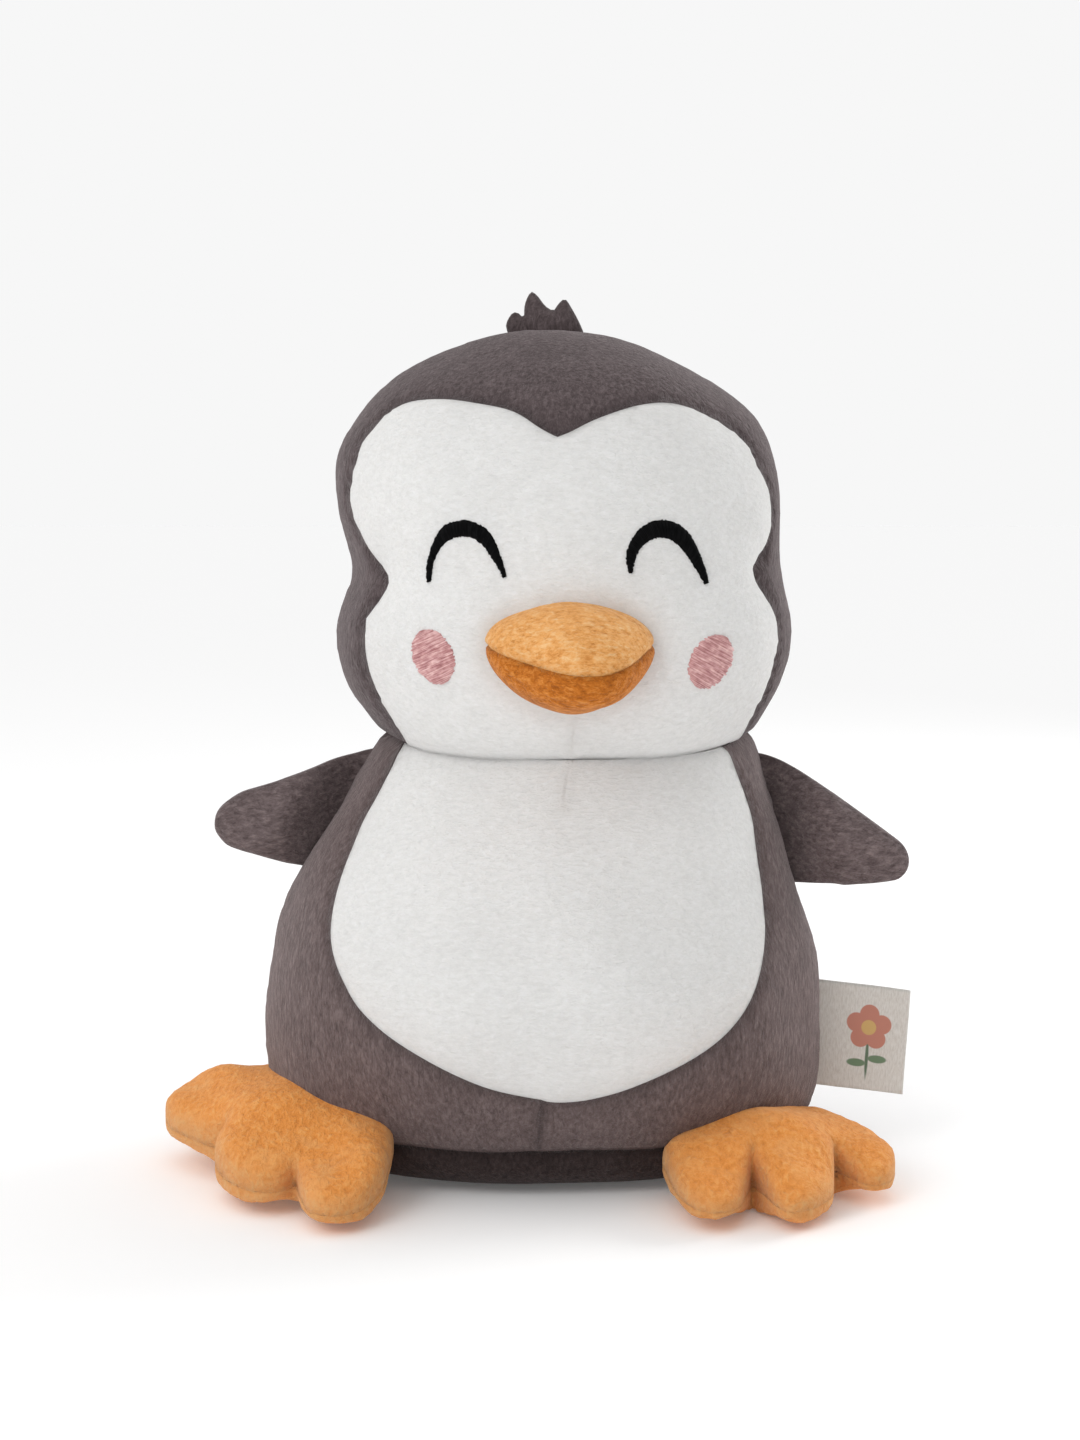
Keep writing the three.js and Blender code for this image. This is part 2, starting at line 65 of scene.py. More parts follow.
# Levels: z, centre x, half width, front depth, back depth, roundness
HEAD = np.array([
    (128.5, 7.8, 58.8, 41.4, 41.0, 2.0), (131.2, 7.8, 59.8, 43.6, 42.2, 2.05), (135.7, 7.4, 61.6, 47.4, 44.6, 2.1),
    (140.3, 7.0, 63.8, 51.0, 47.2, 2.15), (146.5, 6.9, 66.0, 54.5, 49.5, 2.2), (155.0, 7.0, 67.9, 57.2, 52.3, 2.2),
    (163.0, 7.2, 67.9, 58.1, 53.6, 2.2), (171.5, 7.8, 65.6, 58.1, 54.5, 2.2), (178.0, 8.1, 64.2, 57.6, 55.0, 2.2),
    (185.5, 7.2, 64.8, 57.0, 55.0, 2.2), (195.0, 6.1, 66.1, 56.0, 54.5, 2.2), (204.0, 5.2, 66.2, 54.3, 52.8, 2.2),
    (212.5, 4.3, 64.6, 51.7, 50.2, 2.2), (221.0, 4.2, 60.2, 47.8, 46.8, 2.15), (229.5, 3.4, 52.0, 42.0, 41.5, 2.1),
    (236.5, 3.3, 42.3, 35.0, 35.0, 2.05), (241.5, 3.1, 32.8, 27.4, 27.8, 2.0), (245.0, 2.9, 22.0, 18.2, 18.6, 2.0),
    (246.6, 2.8, 11.6, 9.1, 9.3, 2.0), (247.0, 2.8, 0.0, 0.0, 0.0, 2.0)])
BODY = np.array([
    (0.2, 0.3, 0.0, 0.0, 0.0, 2.0), (0.25, 0.3, 22.0, 14.0, 14.0, 2.0), (0.35, 0.3, 44.0, 26.0, 26.5, 2.05), (0.8, 0.3, 57.0, 34.0, 34.5, 2.1),
    (2.6, 0.3, 67.0, 41.5, 42.0, 2.1), (7.0, 0.3, 75.5, 47.8, 48.5, 2.1), (13.6, 0.2, 80.8, 51.6, 52.6, 2.1),
    (22.0, 0.7, 82.8, 56.2, 56.6, 2.1), (31.0, 1.0, 83.6, 60.6, 59.6, 2.1), (45.0, 1.1, 83.4, 64.6, 62.2, 2.1),
    (60.0, 1.4, 82.1, 65.5, 62.6, 2.1), (75.0, 1.3, 79.6, 63.0, 60.5, 2.1), (88.0, 2.0, 76.8, 58.6, 56.5, 2.08),
    (100.0, 3.3, 73.0, 52.7, 51.0, 2.05), (110.0, 4.4, 68.8, 47.5, 46.0, 2.0), (118.0, 5.3, 65.2, 44.6, 43.8, 2.0),
    (124.0, 6.6, 61.8, 42.6, 42.0, 2.0), (128.5, 7.8, 58.8, 41.4, 41.0, 2.0)])


def natural_spline(t, v):
    n = len(t)
    h = np.diff(t)
    a = np.zeros((n, n))
    b = np.zeros((n, v.shape[1]))
    a[0, 0] = a[-1, -1] = 1
    for i in range(1, n - 1):
        a[i, i - 1], a[i, i], a[i, i + 1] = h[i - 1], 2 * (h[i - 1] + h[i]), h[i]
        b[i] = 6 * ((v[i + 1] - v[i]) / h[i] - (v[i] - v[i - 1]) / h[i - 1])
    m = np.linalg.solve(a, b)

    def at(x):
        x = np.clip(np.asarray(x, float), t[0], t[-1])
        i = np.clip(np.searchsorted(t, x, side="right") - 1, 0, n - 2)
        d = (x - t[i])[..., None]
        hi = h[i][..., None]
        s = (v[i + 1] - v[i]) / hi - hi * (2 * m[i] + m[i + 1]) / 6
        return v[i] + d * (s + d * (m[i] / 2 + d * (m[i + 1] - m[i]) / (6 * hi)))

    return at


def waves(seed, scale, count=9):
    """A smooth pseudo-random field of about unit size: plane waves in random directions."""
    r = np.random.RandomState(seed)
    k = r.normal(size=(count, 3))
    k *= (2 * np.pi / scale) * (0.6 + 0.8 * r.rand(count))[:, None] / np.linalg.norm(k, axis=1)[:, None]
    ph = r.rand(count) * 2 * np.pi
    return lambda p: np.sin(p @ k.T + ph).sum(-1) / math.sqrt(count / 2)


class Form:
    """A closed or one-ended oval form: s is the profile's arc length from the first row, theta runs round it."""

    def __init__(self, rows, pole_low, pole_high, seed):
        full = rows
        if pole_high:
            mirror = rows[:-1][::-1][:4].copy()
            mirror[:, 2:5] *= -1
            mirror[:, 0] = rows[-1, 0] + 0.0 * mirror[:, 0] + (mirror[:, 0] - rows[-1, 0])
            full = np.vstack([rows, mirror])
        if pole_low:
            mirror = rows[1:][:4][::-1].copy()
            mirror[:, 2:5] *= -1
            full = np.vstack([mirror, full])
        step = np.hypot(np.diff(full[:, 0]), np.diff(full[:, 2]))
        t = np.concatenate([[0], np.cumsum(step)])
        k0 = 4 if pole_low else 0
        t = t - t[k0]
        self.t0, self.t1 = 0.0, t[k0 + len(rows) - 1]
        self.spline = natural_spline(t, full)
        self.pole_low, self.pole_high = pole_low, pole_high
        fine = np.linspace(self.t0, self.t1, 3000)
        v = self.spline(fine)
        rho = np.sqrt(np.maximum(v[:, 2], 1e-4) * np.maximum((v[:, 3] + v[:, 4]) / 2, 1e-4))
        ds = np.hypot(np.diff(v[:, 0]), np.diff(rho))
        self.fine, self.s = fine, np.concatenate([[0], np.cumsum(ds)])
        mid = np.maximum((rho[1:] + rho[:-1]) / 2, 0.05)
        g = np.concatenate([[0], np.cumsum(ds / mid)])
        if pole_low:
            g = g[-1] - g
        self.g, self.rho, self.z = g, rho, v[:, 0]
        self.length = self.s[-1]
        self.lump = waves(seed, 46.0)

    def sec(self, t):
        v = self.spline(t)
        v[..., 2:5] = np.maximum(v[..., 2:5], 0)
        return v

    def raw(self, th, t):
        v = self.sec(t)
        z, cx, hw, yf, yb, n = (v[..., i] for i in range(6))
        c, s = np.cos(th), np.sin(th)
        x = cx + hw * np.sign(c) * np.abs(c) ** (2 / n)
        y = np.where(s > 0, yb, yf) * np.sign(s) * np.abs(s) ** (2 / n)
        return np.stack([x, y, z], -1)

    def normal(self, th, t):
        e = 1e-3
        ta = np.clip(t, self.t0 + (0.4 if self.pole_low else 0), self.t1 - (0.4 if self.pole_high else 0))
        du = self.raw(th + e, ta) - self.raw(th - e, ta)
        dv = self.raw(th, ta + 0.05) - self.raw(th, ta - 0.05)
        n = np.cross(du, dv)
        return n / np.maximum(np.linalg.norm(n, axis=-1, keepdims=True), 1e-12)

    def flat(self, th, t):
        r = np.exp(-np.interp(t, self.fine, self.g))
        if self.pole_high:
            r = np.where(t >= self.t1 - 1e-6, 0, r)
        if self.pole_low:
            r = np.where(t <= self.t0 + 1e-6, 0, r)
        return np.stack([r * np.cos(th), r * np.sin(th)], -1)

    def t_of_z(self, z):
        order = np.argsort(self.z)
        return np.interp(z, self.z[order], self.fine[order])

    def front(self, xz):
        """theta and t of points on the front given as [x, z]."""
        xz = np.asarray(xz, float)
        t = self.t_of_z(xz[:, 1])
        v = self.sec(t)
        u = np.clip((xz[:, 0] - v[:, 1]) / v[:, 2], -1, 1)
        c = np.sign(u) * np.abs(u) ** (v[:, 5] / 2)
        return np.stack([2 * np.pi - np.arccos(c), t], -1)

    def depth_front(self, x, z):
        q = self.front(np.stack([x, z], -1))
        return self.raw(q[:, 0], q[:, 1])[:, 1]

    def inside(self, p, grow=0.0):
        """How far out a point is at its own level: under 1 is inside. Also the push that brings it to the surface."""
        v = self.sec(self.t_of_z(p[:, 2]))
        hw = v[:, 2] + grow
        d = np.where(p[:, 1] > 0, v[:, 4], v[:, 3]) + grow
        n = v[:, 5]
        f = (np.abs(p[:, 0] - v[:, 1]) / np.maximum(hw, 1e-3)) ** n + (np.abs(p[:, 1]) / np.maximum(d, 1e-3)) ** n
        return f ** (1 / n), v[:, 1]


NECK_Z = 128.5
head = Form(HEAD, False, True, 3)
body = Form(BODY, True, False, 5)


def smooth_line(points, corners=(), per=8, closed=False):
    """A Catmull-Rom line through points, broken at the listed corners."""
    p = np.asarray(points, float)
    n = len(p)
    out = []
    cs = set(corners)
    last = n if closed else n - 1
    for i in range(last):
        p1, p2 = p[i % n], p[(i + 1) % n]
        if (i in cs) or (not closed and i == 0):
            p0 = 2 * p1 - p2
        else:
            p0 = p[(i - 1) % n]
        if ((i + 1) % n in cs) or (not closed and i == n - 2):
            p3 = 2 * p2 - p1
        else:
            p3 = p[(i + 2) % n]
        for k in range(per):
            u = k / per
            out.append(0.5 * (2 * p1 + (p2 - p0) * u + (2 * p0 - 5 * p1 + 4 * p2 - p3) * u * u
                              + (3 * p1 - p0 - 3 * p2 + p3) * u ** 3))
    if not closed:
        out.append(p[-1])
    return np.array(out)


def resample(line, step, of=None):
    """The line's points at even spacing, measured on of, the same line somewhere else, if given."""
    m = line if of is None else of
    d = np.concatenate([[0], np.cumsum(np.linalg.norm(np.diff(m, axis=0), axis=1))])
    n = max(2, int(round(d[-1] / step)) + 1)
    q = np.linspace(0, d[-1], n)
    return np.stack([np.interp(q, d, line[:, k]) for k in range(line.shape[1])], -1)


def on(form, line, step):
    """A line of theta, t resampled by its length on the form."""
    line = np.asarray(line, float)
    # denser first, so that straight runs in theta, t follow the form
    q = np.linspace(0, len(line) - 1, max(200, len(line) * 4))
    line = np.stack([np.interp(q, np.arange(len(line)), line[:, k]) for k in range(2)], -1)
    return resample(line, step, form.raw(line[:, 0], line[:, 1]))


def in_polygon(p, poly):
    x, y = p[:, 0][:, None], p[:, 1][:, None]
    x1, y1 = poly[:, 0], poly[:, 1]
    x2, y2 = np.roll(x1, -1), np.roll(y1, -1)
    res = np.zeros(len(p), bool)
    for k in range(0, len(p), 4000):
        s = slice(k, k + 4000)
        cross = ((y1 > y[s]) != (y2 > y[s])) & (x[s] < (x2 - x1) * (y[s] - y1) / (y2 - y1 + 1e-300) + x1)
        res[s] = cross.sum(1) % 2 == 1
    return res


def nearest(points, among):
    tree = kdtree.KDTree(len(among))
    for i, q in enumerate(among):
        tree.insert(Vector(q), i)
    tree.balance()
    got = [tree.find(Vector(q)) for q in points]
    return np.array([g[2] for g in got]), np.array([g[1] for g in got], int)


EDGE = 1.3
CELL = 2.0


def beside(form, q, off):
    """A line of theta, t moved sideways over the form by off millimetres."""
    th, t = q[:, 0], q[:, 1]
    p = form.raw(th, t)
    along = np.gradient(p, axis=0)
    b = np.cross(form.normal(th, t), along)
    b /= np.maximum(np.linalg.norm(b, axis=1, keepdims=True), 1e-9)
    e = 1e-3
    jt = (form.raw(th + e, t) - form.raw(th - e, t)) / (2 * e)
    js = (form.raw(th, t + e) - form.raw(th, t - e)) / (2 * e)
    a11, a12, a22 = (jt * jt).sum(1), (jt * js).sum(1), (js * js).sum(1)
    r1, r2 = (jt * b).sum(1) * off, (js * b).sum(1) * off
    det = a11 * a22 - a12 * a12
    return np.stack([th + (a22 * r1 - a12 * r2) / det, t + (a11 * r2 - a12 * r1) / det], -1)


def panel_mesh(form, rim, creases=()):
    """Triangles of a panel with the given closed rim in theta, t: (theta, t of each vertex, triangles, rim vertices)."""
    rim3 = form.raw(rim[:, 0], rim[:, 1])
    rimq = form.flat(rim[:, 0], rim[:, 1])
    ths, ts = [], []
    count = max(2, int(form.length / (CELL * 0.87)))
    for j, s in enumerate(np.linspace(0, form.length, count + 1)[:-1] + 0.5 * form.length / count):
        t = np.interp(s, form.s, form.fine)
        r = np.interp(t, form.fine, form.rho)
        m = max(5, int(round(2 * np.pi * r / CELL)))
        a = (np.arange(m) + 0.5 * (j % 2)) * 2 * np.pi / m
        ths.append(a)
        ts.append(np.full(m, t))
    th, t = np.concatenate(ths), np.concatenate(ts)
    q = form.flat(th, t)
    keep = in_polygon(q, rimq)
    th, t, q = th[keep], t[keep], q[keep]
    d, _ = nearest(form.raw(th, t), rim3)
    keep = d > 0.62 * CELL
    th, t, q = th[keep], t[keep], q[keep]
    for line in creases:
        lp = form.raw(line[:, 0], line[:, 1])
        d, _ = nearest(form.raw(th, t), lp)
        keep = d > 1.9
        more = [beside(form, line, off) for off in (0.0, 0.45, -0.45, 1.05, -1.05)]
        more = np.vstack(more)
        mq = form.flat(more[:, 0], more[:, 1])
        d, _ = nearest(form.raw(more[:, 0], more[:, 1]), rim3)
        more = more[in_polygon(mq, rimq) & (d > 0.5)]
        th, t = np.concatenate([th[keep], more[:, 0]]), np.concatenate([t[keep], more[:, 1]])
        q = form.flat(th, t)
    pts = np.vstack([rimq, q])
    n = len(rim)
    vs, _, fs, ov, _, _ = delaunay_2d_cdt([Vector(p) for p in pts], [], [list(range(n))], 1, 1e-9)
    src = np.array([o[0] if o else -1 for o in ov])
    allp = np.vstack([rim, np.stack([th, t], -1)])
    tri = np.array([[src[i] for i in f] for f in fs])
    tri = tri[(tri >= 0).all(1)]
    used = np.unique(tri)
    remap = -np.ones(len(allp), int)
    remap[used] = np.arange(len(used))
    return allp[used], remap[tri], remap[np.arange(n)]


def facing(v, tri, out):
    """Turns triangles so that they face along out, a direction for each vertex."""
    n = np.cross(v[tri[:, 1]] - v[tri[:, 0]], v[tri[:, 2]] - v[tri[:, 0]])
    wrong = (n * out[tri].mean(1)).sum(1) < 0
    tri = tri.copy()
    tri[wrong] = tri[wrong][:, ::-1]
    return tri


def rims_of(tri):
    """Directed edges of triangles that have no partner."""
    e = np.vstack([tri[:, [0, 1]], tri[:, [1, 2]], tri[:, [2, 0]]])
    have = {(a, b) for a, b in e.tolist()}
    return np.array([(a, b) for a, b in e.tolist() if (b, a) not in have], int).reshape(-1, 2)


def shell(v, tri, inward, thick):
    """Gives an open surface thickness: its copy, moved inwards, joined round the rim."""
    n = len(v)
    inner = v + inward * thick
    edge = rims_of(tri)
    quads = [[a, n + a, n + b, b] for a, b in edge]  # winding continues the outer face over the rim
    faces = [list(map(int, f)) for f in tri] + [[int(n + f[2]), int(n + f[1]), int(n + f[0])] for f in tri]
    faces += [[int(q[3]), int(q[2]), int(q[1]), int(q[0])][::-1][::-1] for q in quads]
    return np.vstack([v, inner]), faces


PIECES = {}


def make(name, v, faces, material, smooth=True, uv=None):
    mesh = bpy.data.meshes.new(name)
    mesh.from_pydata([tuple(p) for p in world(v)], [], faces)
    mesh.validate()
    o = bpy.data.objects.new(name, mesh)
    bpy.context.scene.collection.objects.link(o)
    if smooth:
        mesh.polygons.foreach_set("use_smooth", [True] * len(mesh.polygons))
    if uv is not None:
        layer = mesh.uv_layers.new(name="UVMap")
        loops = np.zeros(len(mesh.loops), int)
        mesh.loops.foreach_get("vertex_index", loops)
        layer.data.foreach_set("uv", np.asarray(uv)[loops].astype(np.float32).ravel())
    mesh.materials.append(material)
    PIECES[name] = o
    return o


# -------------------------------------------------------------- materials
# Every fabric reads the vertex attribute "rest", the place of a point in drawing millimetres when nothing is moved,
# so a nap stays where it is on the cloth when the toy is posed.


class Graph:
    def __init__(self, name):
        self.mat = bpy.data.materials.new(name)
        self.mat.use_nodes = True
        self.t = self.mat.node_tree
        self.t.nodes.clear()
        self.out = self.t.nodes.new("ShaderNodeOutputMaterial")
        self.bsdf = self.t.nodes.new("ShaderNodeBsdfPrincipled")
        self.t.links.new(self.bsdf.outputs["BSDF"], self.out.inputs["Surface"])

    def node(self, kind, **values):
        n = self.t.nodes.new(kind)
        for k, v in values.items():
            if k.startswith("in_"):
                key = k[3:]
                n.inputs[int(key) if key.isdigit() else key.replace("_", " ")].default_value = v
            else:
                setattr(n, k, v)
        return n

    def link(self, a, b):
        self.t.links.new(a, b)

    def rest(self):
        n = self.node("ShaderNodeAttribute", attribute_name="rest")
        return n.outputs["Vector"]

    def scaled(self, vector, scale):
        n = self.node("ShaderNodeMapping")
        n.inputs["Scale"].default_value = scale
        self.link(vector, n.inputs["Vector"])
        return n.outputs["Vector"]

    def noise(self, vector, scale=1.0, detail=2.0, rough=0.5, distortion=0.0):
        n = self.node("ShaderNodeTexNoise")
        n.inputs["Scale"].default_value = scale
        n.inputs["Detail"].default_value = detail
        n.inputs["Roughness"].default_value = rough
        n.inputs["Distortion"].default_value = distortion
        self.link(vector, n.inputs["Vector"])
        return n.outputs["Fac"]

    def ramp(self, fac, stops):
        n = self.node("ShaderNodeValToRGB")
        e = n.color_ramp.elements
        while len(e) < len(stops):
            e.new(0.5)
        for s, (p, c) in zip(e, stops):
            s.position = p
            s.color = (*c, 1) if hasattr(c, "__len__") else (c, c, c, 1)
        self.link(fac, n.inputs["Fac"])
        return n.outputs["Color"]

    def math(self, op, a, b=0.0, c=None):
        n = self.node("ShaderNodeMath", operation=op)
        for i, v in enumerate((a, b, c)):
            if v is None:
                continue
            if hasattr(v, "is_linked"):
                self.link(v, n.inputs[i])
            else:
                n.inputs[i].default_value = v
        return n.outputs[0]

    def mix(self, fac, a, b, blend="MIX"):
        n = self.node("ShaderNodeMix", data_type="RGBA", blend_type=blend)
        for socket, v in ((n.inputs[0], fac), (n.inputs[6], a), (n.inputs[7], b)):
            if hasattr(v, "is_linked"):
                self.link(v, socket)
            elif hasattr(v, "__len__"):
                socket.default_value = (*v, 1)
            else:
                socket.default_value = v
        return n.outputs[2]

    def bump(self, height, distance, strength=1.0, normal=None):
        n = self.node("ShaderNodeBump")
        n.inputs["Strength"].default_value = strength
        n.inputs["Distance"].default_value = distance
        self.link(height, n.inputs["Height"])
        if normal is not None:
            self.link(normal, n.inputs["Normal"])
        return n.outputs["Normal"]


def srgb(*c):
    return tuple(((v / 255) / 12.92 if v <= 10 else ((v / 255 + 0.055) / 1.055) ** 2.4) for v in c)


def plush(name, dark, mid, light, along, sheen, tint, clump=0.5, nap_depth=0.5, edge=None, patch=None, fleck=0.5,
          subsurface=0.0, seam_shade_highlight=0.5):
    """Short-pile plush: along scales the nap's noise, longer where the number is smaller. edge is a colour painted
    beside the seams: painted shade in their creases on most fabrics, a painted highlight on the feet.
    """
    g = Graph(name)
    rest = g.rest()
    # the nap: short leaning strokes, and finer fibres in them
    strokes = g.noise(g.scaled(rest, along), 1.0, 3.0, 0.62, 0.35)
    fibres = g.noise(g.scaled(rest, tuple(v * 3.4 for v in along)), 1.0, 2.0, 0.6, 0.2)
    clumps = g.noise(g.scaled(rest, tuple(0.12 + 0.10 * v for v in along)), 1.0, 3.0, 0.55, 0.6)
    wash = g.noise(rest, 0.021, 2.0, 0.5)
    tone = g.math("ADD", g.math("MULTIPLY", strokes, 0.55), g.math("MULTIPLY", fibres, 0.27))
    tone = g.math("ADD", tone, g.math("MULTIPLY", clumps, 0.18))
    colour = g.ramp(tone, [(0.36, dark), (0.5, mid), (0.64, light)])
    shade = g.ramp(wash, [(0.3, 0.95), (0.7, 1.0)])
    colour = g.mix(1.0, colour, shade, "MULTIPLY")
    if patch is not None:
        spots = g.ramp(g.noise(rest, 0.045, 3.0, 0.6, 1.2), [(0.5, 0.0), (0.68, 1.0)])
        colour = g.mix(g.math("MULTIPLY", spots, 0.45), colour, patch)
    # painted shade beside the seams: near a seam the colour is mixed towards edge, a darker tone standing in for the
    # shade in the seam's crease (a lighter tan painted highlight on the feet)
    if edge is not None:
        seam_shade_highlight_mask = g.node("ShaderNodeAttribute", attribute_name="seam").outputs["Fac"]
        amount = g.math("MULTIPLY", g.math("MULTIPLY", seam_shade_highlight_mask, g.ramp(strokes, [(0.3, 0.5), (0.7, 1.0)])), seam_shade_highlight)
        colour = g.mix(amount, colour, edge)
    g.link(colour, g.bsdf.inputs["Base Color"])
    g.link(g.ramp(strokes, [(0.3, 0.96), (0.7, 0.78)]), g.bsdf.inputs["Roughness"])
    g.bsdf.inputs["Specular IOR Level"].default_value = 0.12
    g.bsdf.inputs["Sheen Weight"].default_value = sheen
    g.bsdf.inputs["Sheen Roughness"].default_value = 0.45
    g.bsdf.inputs["Sheen Tint"].default_value = (*tint, 1)
    if subsurface:
        g.bsdf.inputs["Subsurface Weight"].default_value = subsurface
        g.bsdf.inputs["Subsurface Radius"].default_value = (0.004, 0.0035, 0.003)
        g.bsdf.inputs["Subsurface Scale"].default_value = 1.0
    n = g.bump(clumps, 0.0016, clump)
    n = g.bump(strokes, 0.0009, nap_depth, n)
    n = g.bump(fibres, 0.00035, fleck, n)
    g.link(n, g.bsdf.inputs["Normal"])
    return g.mat


def thread(name, dark, mid, light, sheen=0.3, rough=0.45, spec=0.5):
    """Satin-stitch thread: the stitches' own fill is in the attribute stitch (x along the row, y across it)."""
    g = Graph(name)
    a = g.node("ShaderNodeAttribute", attribute_name="stitch").outputs["Vector"]
    strand = g.noise(g.scaled(a, (2.6, 0.22, 1)), 1.0, 2.0, 0.5, 0.1)
    fill = g.noise(g.rest(), 0.6, 2.0, 0.5)
    tone = g.math("ADD", g.math("MULTIPLY", strand, 0.7), g.math("MULTIPLY", fill, 0.3))
    g.link(g.ramp(tone, [(0.36, dark), (0.5, mid), (0.66, light)]), g.bsdf.inputs["Base Color"])
    g.link(g.ramp(strand, [(0.3, min(1.0, rough + 0.15)), (0.7, rough)]), g.bsdf.inputs["Roughness"])
    g.bsdf.inputs["Specular IOR Level"].default_value = spec
    g.bsdf.inputs["Sheen Weight"].default_value = sheen
    n = g.bump(strand, 0.00012, 0.6)
    g.link(n, g.bsdf.inputs["Normal"])
    return g.mat


# The edge colours below are painted beside the seams: the darker ones are painted shade in the seams' creases, the
# feet's tan one is a painted highlight.
SEAM_SHADE = srgb(44, 36, 36)
# The head's taupe is the body's fabric made darker: painted shade for the darker look the head's nap takes under the
# light.
TAUPE_HEAD_SHADE = plush("taupe_minky_head_painted_shade", srgb(69, 60, 60), srgb(89, 78, 79), srgb(112, 100, 101), (0.95, 0.95, 0.36), 0.30,
                   (0.80, 0.74, 0.74), clump=0.30, nap_depth=0.75, edge=SEAM_SHADE, seam_shade_highlight=0.55)
TAUPE_BODY = plush("taupe_minky_body", srgb(82, 70, 69), srgb(104, 90, 89), srgb(128, 113, 112), (0.95, 0.95, 0.30), 0.30,
                   (0.80, 0.74, 0.74), clump=0.30, nap_depth=0.7, edge=SEAM_SHADE, seam_shade_highlight=0.5)
# The base panel's taupe is the same fabric made much darker: painted shade for the underside that faces the floor.
TAUPE_BASE_SHADE = plush("taupe_minky_base_painted_shade", srgb(38, 30, 30), srgb(54, 44, 43), srgb(72, 61, 60), (0.9, 0.9, 0.4), 0.12,
                   (0.80, 0.74, 0.74), clump=0.3, nap_depth=0.7, edge=srgb(26, 20, 20), seam_shade_highlight=0.6)
TAUPE_WING = plush("taupe_minky_wing", srgb(82, 70, 70), srgb(107, 94, 94), srgb(136, 121, 120), (0.34, 0.7, 0.95), 0.32,
                   (0.80, 0.74, 0.74), clump=0.5, nap_depth=0.9, edge=srgb(70, 60, 60), seam_shade_highlight=0.3)
WHITE = plush("white_fleece", srgb(224, 223, 221), srgb(232, 231, 229), srgb(239, 238, 237), (0.42, 0.9, 1.05), 0.22,
              (1.0, 1.0, 1.0), clump=0.22, nap_depth=0.55, fleck=0.5, edge=srgb(196, 191, 187), seam_shade_highlight=0.35, subsurface=0.10)
# Its tan edge colour is a painted highlight along the feet's seams.
ORANGE_FOOT = plush("orange_minky_foot", srgb(216, 133, 60), srgb(236, 152, 74), srgb(246, 176, 102), (0.72, 0.46, 0.62), 0.28,
                    (1.0, 0.80, 0.58), clump=0.4, nap_depth=0.9, edge=srgb(196, 156, 112), patch=srgb(238, 176, 112), seam_shade_highlight=0.55)
ORANGE_BEAK = plush("orange_minky_beak", srgb(208, 136, 66), srgb(238, 172, 102), srgb(248, 204, 148), (0.36, 0.8, 0.85), 0.28,
                    (1.0, 0.82, 0.60), clump=0.5, nap_depth=0.95, edge=srgb(178, 112, 54), seam_shade_highlight=0.6)
# The lower beak's orange is the beak's fabric made darker: painted shade for the underside of the beak.
ORANGE_BEAK_UNDER_SHADE = plush("orange_minky_beak_under_painted_shade", srgb(156, 84, 24), srgb(198, 114, 38), srgb(228, 150, 72), (0.36, 0.8, 0.85), 0.22,
                   (1.0, 0.80, 0.56), clump=0.5, nap_depth=0.95, edge=srgb(150, 84, 30), seam_shade_highlight=0.6)
BLACK = thread("black_satin_thread", (0.0012, 0.0012, 0.0014), (0.0024, 0.0024, 0.0027), (0.006, 0.006, 0.0066), 0.0, 0.62, 0.06)
PINK = thread("pink_satin_thread", srgb(158, 100, 102), srgb(200, 148, 147), srgb(238, 202, 200), 0.15, 0.5, 0.35)


